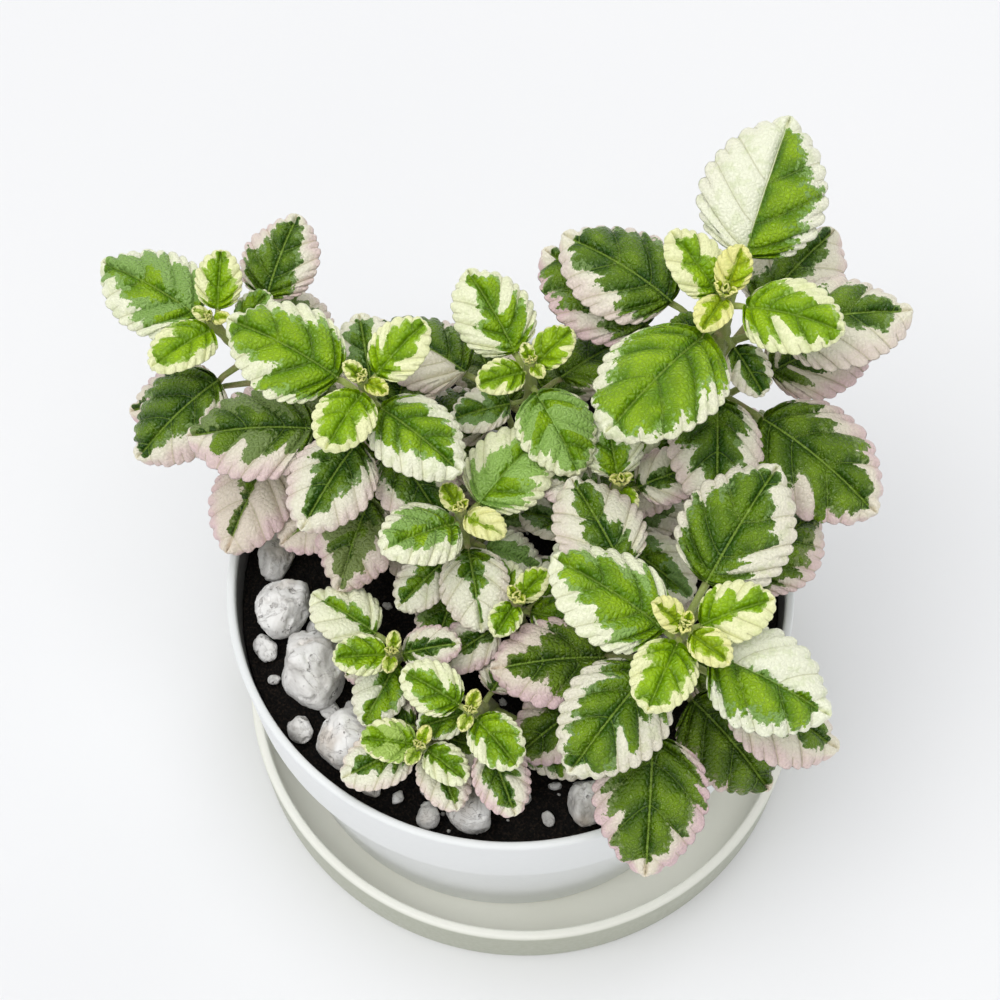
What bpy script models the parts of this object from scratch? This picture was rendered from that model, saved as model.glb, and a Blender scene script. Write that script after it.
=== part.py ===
"""A potted variegated mintleaf.

A white collared pot stands in its saucer. It is filled with soil, strewn with white stones and planted
with leafy stems. Each stem is square, and carries its scalloped leaves in opposite pairs that turn a
quarter from one pair to the next.

Sizes below are millimetres and degrees. The origin is the middle of the saucer's underside, with +Z up.
"""

import math
import random

import bmesh
import bpy
from mathutils import Matrix, Vector
from mathutils.bvhtree import BVHTree

MM = 0.001
TURN_STEPS = 40
MERGE = 0.00001
GAP = 0.3
EDGE = 0.6

# Saucer
SAUCER_FOOT_RADIUS = 64.0
SAUCER_RIM_RADIUS = 64.3
SAUCER_HEIGHT = 16.0
SAUCER_WALL = 2.2
SAUCER_SHIFT = (3.3, 1.0)
SAUCER_CORNER = 1.6
SAUCER_CORNER_BULGE = 0.3
SAUCER_FLOOR = 2.5

# Pot
POT_BOTTOM = SAUCER_FLOOR + GAP
POT_TOP = 70.0
POT_RIM_RADIUS = 60.0
POT_COLLAR_FOOT_RADIUS = 59.0
POT_COLLAR_DEPTH = 21.0
POT_BODY_TOP_RADIUS = 56.6
POT_BODY_FOOT_RADIUS = 51.5
POT_WALL = 1.8
POT_FLOOR = 3.4
POT_FOOT_RING = 4.5
POT_FOOT_EDGE = 1.2
POT_RECESS = 1.2
POT_SHOULDER_STEP = 1.5
DRAIN_RADIUS = 3.5
DRAIN_CIRCLE = 24.0
DRAINS = 4

# Soil
SOIL_TOP = 61.0

# Stems
STEM_FOOT_RADIUS = 1.6
STEM_TOP_RADIUS = 1.0
STEM_DEPTH = 13.0
STEM_UPRIGHT = 4.0
STEM_STEPS = 7
STEM_EASE = 0.4
HOLE_CLEARANCE = 0.45
HOLE_SIDES = 8
CUTTER_SPARE = 3.0

# Leaves
LEAF_THICKNESS = 0.8
STALK_WIDTH = 1.3
STALK_START = 0.4
WIDTH_YOUNG = 0.80
WIDTH_GROWN = 0.82
WIDEST_YOUNG = 0.47
WIDEST_GROWN = 0.41
BASE_ROUNDNESS = 0.45
TOOTH_AT = 0.6
TOOTH_OUT = 1.04
NOTCH_IN = 0.90
GROWN_BLADE = 24.0
TEETH = ((24.0, 5), (14.5, 4), (7.0, 3), (0.0, 2))
RIB_POINTS = ((14.5, (0.35, 0.7)), (0.0, (0.5,)))
ARCH_YOUNG = 12.0
ARCH_GROWN = 40.0
FOLD_YOUNG = 20.0
FOLD_GROWN = -10.0
ROLL_MOST = 7.0

# Clear space round leaves, stems, the rim and the surfaces below
LEAF_CLEARANCE = 0.65
STEM_CLEARANCE = 0.5
RIM_CLEARANCE = 0.5
SURFACE_CLEARANCE = 1.0
FREE_STALK = 3.0
GUARD_SHARES = (0.05, 0.15, 0.3, 0.5, 0.7, 0.85, 0.95)

# How a leaf may be bent clear: its rise and heading in steps, and its size
RISE_STEP = 5
RISE_MOST = 30
TURN_STEP = 7
TURN_MOST = 21
SIZES = (1.0, 0.9, 0.8)
SIZE_STEP = 0.1

# Lower pairs that follow from the listed ones
LOWER_STEP = 8.0
LOWER_RISE = -8.0
LOWER_STALK = 8.0
LOWER_BLADE = 18.0
LOWEST_LEAF = SOIL_TOP + 7.0

# Each leafy stem: its foot on the soil, its tip, the lean of its top (sideways run for each unit of rise)
# and its leaf pairs from the top down. A pair has its distance below the tip and, for each of its two
# leaves, the heading (0 is +X, 90 is +Y), the rise, the length of its stalk and the length of its blade.
STEMS = {
    "leafy_stem_01": dict(foot=(36, 24), tip=(41, 32, 128), lean=(-0.17, 0.0), pairs=(
        (1.0, (65, 50, 2, 9), (-120, 8, 1, 9)),
        (3.5, (142, 35, 3, 15), (-26, 15, 5, 20)),
        (8.5, (70, 25, 13, 30), (-131, 5, 8, 30)),
        (12.5, (175, 5, 2, 9), (-58, -15, 4, 11)),
        (16.0, (144, 22, 13, 27), (-15, 8, 12, 27)),
        (22.0, (48, 25, 14, 25), (-92, -12, 9, 23)),
        (29.0, (150, 15, 18, 27), (-42, 8, 14, 30)),
        (36.0, (20, 12, 16, 24), (-130, -20, 8, 20)),
    )),
    "leafy_stem_02": dict(foot=(26, -22), tip=(32, -31, 112), lean=(0.05, -0.05), pairs=(
        (1.0, (159, 45, 1.5, 8), (-44, 8, 2, 9)),
        (3.5, (16, 25, 4, 14.5), (-114, 5, 3, 15)),
        (8.0, (150, 15, 4, 25), (-27, -5, 7, 25)),
        (13.0, (57, 20, 14, 27), (-130, -10, 7, 25)),
        (20.0, (117, 10, 18, 22), (-26, -15, 15, 25)),
        (25.0, (42, 3, 22, 24), (-94, -14, 17, 27)),
        (31.0, (-165, 8, 10, 23), (-45, -18, 12, 24)),
        (36.0, (-10, -10, 9, 18), (165, -2, 8, 17)),
        (41.0, (-143, 0, 14, 18), (75, 0, 8, 18)),
    )),
    "leafy_stem_03": dict(foot=(-24, 15), tip=(-29, 19, 118), lean=(-0.15, 0.0), pairs=(
        (1.0, (157, 50, 1, 5), (-33, 10, 1, 5)),
        (3.5, (39, 30, 4, 14), (-116, 5, 2, 14.5)),
        (8.0, (154, 15, 8, 25), (-40, -5, 3, 21)),
        (14.0, (100, 5, 8, 16), (-122, -10, 7, 21)),
        (20.0, (-178, 2, 14, 26), (-55, -12, 4, 20)),
        (27.0, (80, 0, 10, 20), (-112, -25, 9, 21)),
        (33.0, (-150, -15, 10, 18), (20, -10, 8, 18)),
    )),
    "leafy_stem_04": dict(foot=(-36, 27), tip=(-62, 41, 106), lean=(-0.55, 0.2), pairs=(
        (1.0, (170, 45, 1, 4), (-10, 30, 1, 4)),
        (3.0, (85, 35, 4, 12), (-137, 8, 2, 15)),
        (7.0, (150, 10, 8, 24), (49, 15, 4, 9)),
        (13.0, (72, 22, 13, 20), (-141, -18, 8, 24)),
        (20.0, (-172, -12, 12, 20), (20, 0, 6, 14)),
        (28.0, (95, 0, 10, 20), (-114, -12, 14, 22)),
    )),
    "leafy_stem_05": dict(foot=(3, 23), tip=(4, 28, 110), lean=(0.0, 0.1), pairs=(
        (1.0, (120, 50, 1, 4), (-60, 20, 1, 4)),
        (3.0, (35, 30, 2, 10), (-156, 10, 2, 10)),
        (7.0, (121, 20, 7, 20), (-63, -10, 3, 19)),
        (12.5, (36, 0, 8, 16), (-169, -10, 4, 13)),
        (18.0, (146, 12, 16, 24), (-75, -20, 4, 13)),
        (25.0, (60, 5, 10, 20), (170, -5, 8, 18)),
        (33.0, (110, 0, 12, 20), (-40, -15, 8, 14)),
    )),
    "leafy_stem_06": dict(foot=(-8, 2), tip=(-10, 0, 100), lean=(-0.05, 0.0), pairs=(
        (2.0, (127, 30, 1, 6), (-34, 8, 1.5, 9)),
        (6.0, (47, 15, 5, 21), (-152, 0, 3, 18)),
        (11.0, (130, 5, 6, 14), (-80, -15, 4, 17)),
        (16.0, (-10, -15, 4, 13), (-138, -15, 6, 14)),
        (22.0, (50, -8, 9, 16), (-110, -5, 7, 16)),
        (28.0, (160, 0, 8, 17), (-20, 0, 7, 16)),
        (33.0, (80, 0, 9, 16), (-100, 0, 7, 15)),
    )),
    "leafy_stem_07": dict(foot=(2, -12), tip=(1, -16, 92), lean=(0.0, -0.1), pairs=(
        (2.0, (43, 20, 1, 8), (-119, 8, 1, 8)),
        (7.0, (110, 5, 2, 10), (-14, -5, 3, 12)),
        (13.0, (35, -5, 5, 15), (-150, -12, 5, 14)),
        (19.0, (120, -8, 5, 14), (-65, -10, 5, 14)),
    )),
    "leafy_stem_08": dict(foot=(-20, -16), tip=(-24, -23, 82), lean=(-0.2, -0.1), pairs=(
        (1.0, (80, 45, 1, 4), (-100, 15, 1, 4)),
        (3.0, (-170, 15, 2, 11), (4, 15, 2, 12)),
        (8.0, (147, 10, 7, 16), (-118, -8, 3, 14)),
        (12.0, (50, 0, 5, 14), (-165, -5, 5, 13)),
    )),
    "leafy_stem_09": dict(foot=(-15, -34), tip=(-18, -43, 82), lean=(-0.15, -0.3), pairs=(
        (1.0, (60, 45, 1, 4), (-120, 15, 1, 4)),
        (3.0, (178, 15, 1.5, 11), (-40, 0, 1.5, 10)),
        (8.0, (-154, 0, 4, 15), (-68, 0, 3, 13)),
        (12.0, (165, -2, 5, 14), (-20, 0, 4, 13)),
    )),
    "leafy_stem_10": dict(foot=(-4, -29), tip=(-8, -38, 88), lean=(0.0, -0.2), pairs=(
        (1.0, (70, 45, 1, 4), (-110, 15, 1, 4)),
        (3.0, (152, 15, 3, 13), (-51, 0, 2, 12.5)),
        (8.0, (-165, -5, 2, 10), (-68, -15, 8, 14)),
        (13.0, (60, -5, 5, 15), (-75, -5, 8, 12)),
    )),
    "leafy_stem_11": dict(foot=(16, 4), tip=(22, 7, 98), lean=(0.1, 0.0), pairs=(
        (1.5, (100, 25, 2, 15), (-70, 8, 1, 6)),
        (6.0, (20, 5, 5, 15), (160, 5, 4, 16)),
        (12.0, (60, 0, 7, 17), (-120, -10, 5, 14)),
        (18.0, (-40, 0, 7, 18), (185, -5, 4, 15)),
        (24.0, (40, -5, 10, 17), (-130, -5, 8, 16)),
    )),
}

# Stones: the larger ones have a chosen middle and radius, the rest fill the free soil
STONES_CHOSEN = (
    (-48.0, -5.5, 6.8), (-41.0, -20.5, 9.0), (-33.0, -35.5, 7.6), (-50.5, 6.5, 5.0), (-43.4, -32.2, 3.0),
    (-24.5, -24.5, 5.0), (-8.0, -49.5, 5.6), (15.5, -48.0, 5.0),
)
STONES_MORE = 10
STONE_SIZES = (4.6, 7.2)
STONE_WIDTH = (0.78, 0.95)
STONE_FLATNESS = (0.75, 0.95)
STONE_BREAKS = 9
STONE_BREAK_DEPTH = (0.70, 0.90)
STONE_FOOT = 0.72
STONE_SPACE = 0.6
STONE_FIELD = 56.0
STONE_SEED = 11
LEAF_SEED = 5

COLOURS = {
    "saucer": ((0.80, 0.80, 0.72), 0.45),
    "pot": ((0.86, 0.87, 0.88), 0.35),
    "soil": ((0.015, 0.012, 0.010), 0.95),
    "stone": ((0.66, 0.65, 0.63), 0.8),
    "leaf": ((0.16, 0.36, 0.07), 0.5),
}


def blend(low, high, share):
    return low + (high - low) * share


def spin(angle):
    """The unit vector at an angle round Z."""
    return Vector((math.cos(angle), math.sin(angle), 0.0))


# Leaves

class Leaf:
    """One leaf: a stalk that leaves the stem straight, and a blade that arches over and folds along its rib."""

    def __init__(self, start, heading, rise, stalk, blade, roll):
        grown = min(1.0, blade / GROWN_BLADE)
        self.start = start
        self.heading = math.radians(heading)
        self.stalk = stalk
        self.blade = blade
        self.length = stalk + blade
        self.half_width = blade * blend(WIDTH_YOUNG, WIDTH_GROWN, grown) / 2
        self.widest = blend(WIDEST_YOUNG, WIDEST_GROWN, grown)
        self.arch = math.radians(blend(ARCH_YOUNG, ARCH_GROWN, grown))
        self.fold = math.radians(blend(FOLD_YOUNG, FOLD_GROWN, grown))
        self.roll = math.radians(roll)
        self.first_rise = math.radians(rise) + self.arch / 2 * blade / self.length

    def point(self, along, across, lift=0.0):
        """A place on the leaf: how far along its middle from the stem, how far to its left, how far off its face."""
        bend = self.arch / self.blade
        straight = min(along, self.stalk)
        rise = self.first_rise - bend * max(along - self.stalk, 0.0)
        out = straight * math.cos(self.first_rise) + (math.sin(self.first_rise) - math.sin(rise)) / bend
        up = straight * math.sin(self.first_rise) + (math.cos(rise) - math.cos(self.first_rise)) / bend
        ahead = spin(self.heading) * math.cos(rise) + Vector((0, 0, math.sin(rise)))
        left = spin(self.heading + math.pi / 2)
        tilt = Matrix.Rotation(self.roll * min(along / self.length * 2, 1.0), 3, ahead)
        left = tilt @ left
        face = ahead.cross(left)
        middle = self.start + spin(self.heading) * out + Vector((0, 0, up))
        side = left * across * math.cos(self.fold)
        return middle + side + face * (abs(across) * math.sin(self.fold) + lift)

    def half_width_at(self, share):
        """Half the blade's width at a share of its length, without teeth."""
        near = BASE_ROUNDNESS
        far = near * (1 - self.widest) / self.widest
        return self.half_width * (share / self.widest) ** near * ((1 - share) / (1 - self.widest)) ** far

    def pick(self, choices):
        """What a list of (least blade length, choice) gives for this leaf."""
        return next(choice for least, choice in choices if self.blade >= least)

    def edge(self):
        """The toothed edge of one side, as (distance along, distance across) from the stem to the leaf's tip."""
        points = [(STALK_START, STALK_WIDTH / 2), (self.stalk, STALK_WIDTH / 2)]
        teeth = self.pick(TEETH)
        for tooth in range(teeth - 1):
            out = (tooth + TOOTH_AT) / teeth
            notch = (tooth + 1.0) / teeth
            points.append((self.stalk + self.blade * out, self.half_width_at(out) * TOOTH_OUT))
            points.append((self.stalk + self.blade * notch, self.half_width_at(notch) * NOTCH_IN))
        points.append((self.length, 0.0))
        return points

    def rib(self):
        """Distances along the middle line, from the stem to the leaf's tip."""
        inner = [self.stalk + self.blade * share for share in self.pick(RIB_POINTS)]
        return [STALK_START, self.stalk] + inner + [self.length]


def guard_of(leaf):
    """A closed skin round a leaf, a little thicker than the leaf, to test what it would touch."""
    stations = [(FREE_STALK, STALK_WIDTH / 2)] if leaf.stalk > FREE_STALK else []
    for share in GUARD_SHARES:
        stations.append((leaf.stalk + leaf.blade * share, leaf.half_width_at(share) * TOOTH_OUT))
    stations.append((leaf.length, STALK_WIDTH / 2))
    stations = [place for place in stations if place[0] >= FREE_STALK]
    corners = []
    for along, half in stations:
        for across in (-half, 0.0, half):
            corners.append(leaf.point(along, across, LEAF_CLEARANCE))
            corners.append(leaf.point(along, across, -LEAF_CLEARANCE))
    ring = (0, 2, 4, 5, 3, 1)
    size = len(ring)
    faces = [list(ring)]
    for station in range(len(stations) - 1):
        for k in range(size):
            a = ring[k] + size * station
            b = ring[(k + 1) % size] + size * station
            faces.append([a, b, b + size])
            faces.append([a, b + size, a + size])
    faces.append([i + size * (len(stations) - 1) for i in ring])
    return corners, faces


class Obstacle:
    """A skin with its box, for quick tests of what would touch it."""

    def __init__(self, corners, faces, owner=""):
        self.owner = owner
        self.tree = BVHTree.FromPolygons(corners, faces)
        self.low = Vector([min(c[i] for c in corners) for i in range(3)])
        self.high = Vector([max(c[i] for c in corners) for i in range(3)])

    def meets(self, other):
        for i in range(3):
            if self.low[i] > other.high[i] or other.low[i] > self.high[i]:
                return False
        return bool(self.tree.overlap(other.tree))


# Stems

def stem_middle(stem):
    """Points up the middle of a stem, from the bottom of its hole to its tip."""
    foot = Vector((*stem["foot"], SOIL_TOP + STEM_UPRIGHT))
    tip = Vector(stem["tip"])
    lean = Vector((*stem["lean"], 1.0)).normalized()
    reach = (tip - foot).length * STEM_EASE
    handles = (foot, foot + Vector((0, 0, reach)), tip - lean * reach, tip)
    points = [Vector((*stem["foot"], SOIL_TOP - STEM_DEPTH))]
    for step in range(STEM_STEPS + 1):
        t = step / STEM_STEPS
        weights = ((1 - t) ** 3, 3 * t * (1 - t) ** 2, 3 * t * t * (1 - t), t ** 3)
        points.append(sum((h * w for h, w in zip(handles, weights)), Vector()))
    return points


def stem_below(points, drop):
    """The place on a stem at a distance below its tip, measured along it."""
    left = drop
    for upper, lower in zip(points[::-1], points[-2::-1]):
        step = (upper - lower).length
        if left <= step:
            return upper.lerp(lower, left / step)
        left -= step
    return points[0]


def stem_radii(points):
    """The stem's radius at each of its points: even in the soil, then thinner to the tip."""
    last = len(points) - 1
    return [blend(STEM_FOOT_RADIUS, STEM_TOP_RADIUS, max(i - 1, 0) / (last - 1)) for i in range(last + 1)]


def stem_guard(points, name):
    """A six-sided skin round a stem above the soil."""
    sides = 6
    rings = list(zip(points, stem_radii(points)))[1:]
    corners, faces = [], []
    for place, radius in rings:
        for k in range(sides):
            corners.append(place + spin(2 * math.pi * k / sides) * (radius + STEM_CLEARANCE))
    for ring in range(len(rings) - 1):
        for k in range(sides):
            a, b = sides * ring + k, sides * ring + (k + 1) % sides
            faces.append([a, b, b + sides, a + sides])
    faces.append([sides * (len(rings) - 1) + k for k in range(sides)])
    return Obstacle(corners, faces, name)


# What the leaves keep clear of

def ring_skin(radius, low, high):
    """An upright round wall of quads."""
    corners, faces = [], []
    for k in range(TURN_STEPS):
        place = spin(2 * math.pi * k / TURN_STEPS) * radius
        corners += [place + Vector((0, 0, low)), place + Vector((0, 0, high))]
    for k in range(TURN_STEPS):
        a, b = 2 * k, 2 * ((k + 1) % TURN_STEPS)
        faces.append([a, b, b + 1, a + 1])
    return corners, faces


def flat_skin(half, height):
    """A level square."""
    corners = [Vector((x, y, height)) for x, y in ((-half, -half), (half, -half), (half, half), (-half, half))]
    return corners, [[0, 1, 2, 3]]


def still_obstacles():
    """The pot's rim, the soil, the stones and the table, as skins."""
    outside = POT_RIM_RADIUS + RIM_CLEARANCE
    inside = POT_RIM_RADIUS - POT_WALL - RIM_CLEARANCE
    top = POT_TOP + RIM_CLEARANCE
    found = [
        Obstacle(*ring_skin(outside, POT_BOTTOM, top)),
        Obstacle(*ring_skin(inside, SOIL_TOP, top)),
        Obstacle(*ring_skin((inside + outside) / 2, SOIL_TOP, top)),
        Obstacle(*flat_skin(inside / math.sqrt(2), SOIL_TOP + SURFACE_CLEARANCE)),
        Obstacle(*flat_skin(3 * POT_RIM_RADIUS, SURFACE_CLEARANCE)),
    ]
    for stone in stones():
        corners, faces = stone_shape(*stone)
        found.append(Obstacle(corners, faces))
    return found


def bends():
    """Small changes of rise, heading and size, the smallest first."""
    found = []
    for rise in range(-RISE_MOST, RISE_MOST + 1, RISE_STEP):
        for turn in range(-TURN_MOST, TURN_MOST + 1, TURN_STEP):
            for size in SIZES:
                change = abs(rise) / RISE_STEP + abs(turn) / TURN_STEP + round((1 - size) / SIZE_STEP)
                found.append((change, rise, turn, size))
    return [change[1:] for change in sorted(found)]


def wanted_leaves():
    """Every leaf to place, as (stem, start, heading, rise, stalk, blade): listed ones and lower ones, top down."""
    listed, lower = [], []
    for name, stem in STEMS.items():
        points = stem_middle(stem)
        for drop, *pair in stem["pairs"]:
            start = stem_below(points, drop)
            for heading, rise, stalk, blade in pair:
                listed.append((name, start, heading, rise, stalk, blade))
        heading = pair[0][0] + 90
        drop += LOWER_STEP
        start = stem_below(points, drop)
        while start.z > LOWEST_LEAF:
            for side in (0, 180):
                lower.append((name, start, heading + side, LOWER_RISE, LOWER_STALK, LOWER_BLADE))
            heading += 90
            drop += LOWER_STEP
            start = stem_below(points, drop)

    def by_height(leaf):
        return -leaf[1].z

    return sorted(listed, key=by_height), sorted(lower, key=by_height)


def place_leaves():
    """Bend each leaf clear of everything that is placed before it. A low leaf that finds no room has fallen."""
    draw = random.Random(LEAF_SEED)
    placed = still_obstacles()
    stem_skins = [stem_guard(stem_middle(stem), name) for name, stem in STEMS.items()]
    changes = bends()
    leaves = {name: [] for name in STEMS}
    for group in wanted_leaves():
        for name, start, heading, rise, stalk, blade in group:
            roll = draw.uniform(-ROLL_MOST, ROLL_MOST)
            near = placed + [skin for skin in stem_skins if skin.owner != name]
            for more_rise, turn, size in changes:
                leaf = Leaf(start, heading + turn, rise + more_rise, stalk * size, blade * size, roll)
                skin = Obstacle(*guard_of(leaf), name)
                if not any(skin.meets(other) for other in near):
                    leaves[name].append(leaf)
                    placed.append(skin)
                    break
    return leaves


# Stones

def stones():
    """Middle, radius and seed of each stone: the chosen ones, then more where the soil is free."""
    draw = random.Random(STONE_SEED)
    found = [(x, y, radius, index) for index, (x, y, radius) in enumerate(STONES_CHOSEN)]
    while len(found) < len(STONES_CHOSEN) + STONES_MORE:
        radius = draw.uniform(*STONE_SIZES)
        reach = (STONE_FIELD - radius) * math.sqrt(draw.random())
        place = spin(draw.uniform(0, 2 * math.pi)) * reach
        free = all(math.dist(place[:2], (x, y)) > radius + r + STONE_SPACE for x, y, r, _ in found)
        room = radius + STEM_FOOT_RADIUS + STONE_SPACE
        free = free and all(math.dist(place[:2], stem["foot"]) > room for stem in STEMS.values())
        if free:
            found.append((place.x, place.y, radius, len(found)))
    return found


def stone_shape(x, y, radius, seed):
    """A broken stone: a long ball with flat breaks round it, on a small flat foot, just off the soil."""
    draw = random.Random(STONE_SEED * 100 + seed)
    breaks = [(Vector((0, 0, -1)), STONE_FOOT)]
    for _ in range(STONE_BREAKS):
        height = draw.uniform(-1, 1)
        way = spin(draw.uniform(0, 2 * math.pi)) * math.sqrt(1 - height ** 2) + Vector((0, 0, height))
        breaks.append((way, draw.uniform(*STONE_BREAK_DEPTH)))
    form = Matrix.Rotation(draw.uniform(0, math.pi), 3, "Z")
    form = form @ Matrix.Diagonal((draw.uniform(*STONE_WIDTH), 1.0, draw.uniform(*STONE_FLATNESS))) * radius
    bm = bmesh.new()
    bmesh.ops.create_icosphere(bm, subdivisions=2 if seed < len(STONES_CHOSEN) else 1, radius=1.0)
    corners = []
    for vert in bm.verts:
        reach = min([1.0] + [depth / way.dot(vert.co) for way, depth in breaks if way.dot(vert.co) > depth])
        corners.append(form @ (vert.co * reach))
    lift = SOIL_TOP + GAP - min(c.z for c in corners)
    corners = [c + Vector((x, y, lift)) for c in corners]
    faces = [[v.index for v in face.verts] for face in bm.faces]
    bm.free()
    return corners, faces


# Objects

def collection(name):
    found = bpy.data.collections.new(name)
    bpy.context.scene.collection.children.link(found)
    return found


def material(name):
    """A Principled material in the named colour, made once."""
    if name in bpy.data.materials:
        return bpy.data.materials[name]
    colour, roughness = COLOURS[name]
    made = bpy.data.materials.new(name)
    made.use_nodes = True
    shader = made.node_tree.nodes["Principled BSDF"]
    shader.inputs["Base Color"].default_value = (*colour, 1.0)
    shader.inputs["Roughness"].default_value = roughness
    shader.inputs["Metallic"].default_value = 0.0
    return made


def add(name, mesh, group, finish=None):
    """An object of a mesh, in a collection, with its material."""
    made = bpy.data.objects.new(name, mesh)
    group.objects.link(made)
    if finish:
        mesh.materials.append(material(finish))
    return made


def mesh_of(name, corners, faces):
    """A mesh in metres from corners in millimetres."""
    mesh = bpy.data.meshes.new(name)
    mesh.from_pydata([c * MM for c in corners], [], faces)
    return mesh


def turned(name, profile, group, finish):
    """A body turned round Z from a profile of (radius, height), outer side first, top to bottom."""
    corners = [Vector((radius, 0, height)) for radius, height in profile]
    mesh = bpy.data.meshes.new(name)
    mesh.from_pydata([c * MM for c in corners], [(i, i + 1) for i in range(len(corners) - 1)], [])
    made = add(name, mesh, group, finish)
    screw = made.modifiers.new("turn", "SCREW")
    screw.steps = TURN_STEPS
    screw.render_steps = TURN_STEPS
    screw.use_merge_vertices = True
    screw.merge_threshold = MERGE
    return made


def cut(target, cutters):
    """Cut every object of a collection from a body."""
    boolean = target.modifiers.new("holes", "BOOLEAN")
    boolean.operation = "DIFFERENCE"
    boolean.operand_type = "COLLECTION"
    boolean.collection = cutters


def cutter(name, place, radius, low, high, sides, group):
    """An upright round cutter between two heights."""
    bm = bmesh.new()
    bmesh.ops.create_cone(
        bm, cap_ends=True, segments=sides, radius1=radius * MM, radius2=radius * MM, depth=(high - low) * MM)
    mesh = bpy.data.meshes.new(name)
    bm.to_mesh(mesh)
    bm.free()
    made = add(name, mesh, group)
    made.location = Vector((place[0], place[1], (low + high) / 2)) * MM
    made.hide_render = True
    made.display_type = "WIRE"
    return made


def make_saucer(group):
    """A shallow dish with a flat floor and a sloping wall."""
    inner_rim = SAUCER_RIM_RADIUS - SAUCER_WALL
    inner_foot = SAUCER_FOOT_RADIUS - SAUCER_WALL
    bulge = SAUCER_CORNER * SAUCER_CORNER_BULGE
    profile = (
        (inner_rim + EDGE, SAUCER_HEIGHT),
        (SAUCER_RIM_RADIUS - EDGE, SAUCER_HEIGHT),
        (SAUCER_RIM_RADIUS, SAUCER_HEIGHT - EDGE),
        (SAUCER_FOOT_RADIUS, SAUCER_CORNER),
        (SAUCER_FOOT_RADIUS - bulge, bulge),
        (SAUCER_FOOT_RADIUS - SAUCER_CORNER, 0.0),
        (0.0, 0.0),
    )
    inside = (
        (0.0, SAUCER_FLOOR),
        (inner_foot - SAUCER_CORNER, SAUCER_FLOOR),
        (inner_foot, SAUCER_FLOOR + SAUCER_CORNER),
        (inner_rim, SAUCER_HEIGHT - EDGE),
        (inner_rim + EDGE, SAUCER_HEIGHT),
    )
    made = turned("saucer", profile + inside, group, "saucer")
    made.location = Vector((*SAUCER_SHIFT, 0.0)) * MM
    return made


def inner_radius(height):
    """The radius of the pot's inside at a height."""
    shoulder = POT_TOP - POT_COLLAR_DEPTH
    if height >= shoulder:
        share = (height - shoulder) / POT_COLLAR_DEPTH
        return blend(POT_COLLAR_FOOT_RADIUS, POT_RIM_RADIUS, share) - POT_WALL
    share = (height - POT_BOTTOM) / (shoulder - POT_BOTTOM)
    return blend(POT_BODY_FOOT_RADIUS, POT_BODY_TOP_RADIUS, share) - POT_WALL


def make_pot(group, cutters):
    """A tapered pot with a tall collar and a foot ring, open at the top, with drain holes."""
    shoulder = POT_TOP - POT_COLLAR_DEPTH
    floor = POT_BOTTOM + POT_FLOOR
    inner_rim = POT_RIM_RADIUS - POT_WALL
    ring = POT_BODY_FOOT_RADIUS - POT_FOOT_RING
    profile = (
        (inner_rim + EDGE, POT_TOP),
        (POT_RIM_RADIUS - EDGE, POT_TOP),
        (POT_RIM_RADIUS, POT_TOP - EDGE),
        (POT_COLLAR_FOOT_RADIUS, shoulder + EDGE),
        (POT_COLLAR_FOOT_RADIUS - EDGE, shoulder),
        (POT_BODY_TOP_RADIUS, shoulder - EDGE),
        (POT_BODY_FOOT_RADIUS, POT_BOTTOM + POT_FOOT_EDGE),
        (POT_BODY_FOOT_RADIUS - POT_FOOT_EDGE, POT_BOTTOM),
        (ring, POT_BOTTOM),
        (ring - EDGE, POT_BOTTOM + POT_RECESS),
        (0.0, POT_BOTTOM + POT_RECESS),
    )
    inside = (
        (0.0, floor),
        (inner_radius(floor) - EDGE, floor),
        (inner_radius(floor + EDGE), floor + EDGE),
        (inner_radius(shoulder - POT_SHOULDER_STEP), shoulder - POT_SHOULDER_STEP),
        (inner_radius(shoulder), shoulder),
        (inner_rim, POT_TOP - EDGE),
        (inner_rim + EDGE, POT_TOP),
    )
    made = turned("pot", profile + inside, group, "pot")
    for k in range(DRAINS):
        place = spin(2 * math.pi * (k + 0.5) / DRAINS) * DRAIN_CIRCLE
        cutter(f"drain_{k + 1}", place, DRAIN_RADIUS, 0.0, floor + CUTTER_SPARE, HOLE_SIDES, cutters)
    cut(made, cutters)
    return made


def make_soil(group, cutters):
    """The pot's filling, a gap clear of the pot, with a plain hole for each stem."""
    shoulder = POT_TOP - POT_COLLAR_DEPTH
    low = POT_BOTTOM + POT_FLOOR + GAP
    profile = (
        (0.0, SOIL_TOP),
        (inner_radius(SOIL_TOP) - GAP, SOIL_TOP),
        (inner_radius(shoulder) - GAP, shoulder + GAP),
        (inner_radius(shoulder - POT_SHOULDER_STEP) - GAP, shoulder - POT_SHOULDER_STEP),
        (inner_radius(low) - GAP - POT_FOOT_EDGE, low),
        (0.0, low),
    )
    made = turned("soil", profile, group, "soil")
    depth = SOIL_TOP - STEM_DEPTH - GAP
    for name, stem in STEMS.items():
        radius = STEM_FOOT_RADIUS + HOLE_CLEARANCE
        cutter(f"hole_{name}", stem["foot"], radius, depth, SOIL_TOP + CUTTER_SPARE, HOLE_SIDES, cutters)
    cut(made, cutters)
    return made


def make_stones(group):
    """The loose stones, each its own object."""
    for number, stone in enumerate(stones(), 1):
        corners, faces = stone_shape(*stone)
        add(f"stone_{number:02d}", mesh_of("stone", corners, faces), group, "stone")


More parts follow.
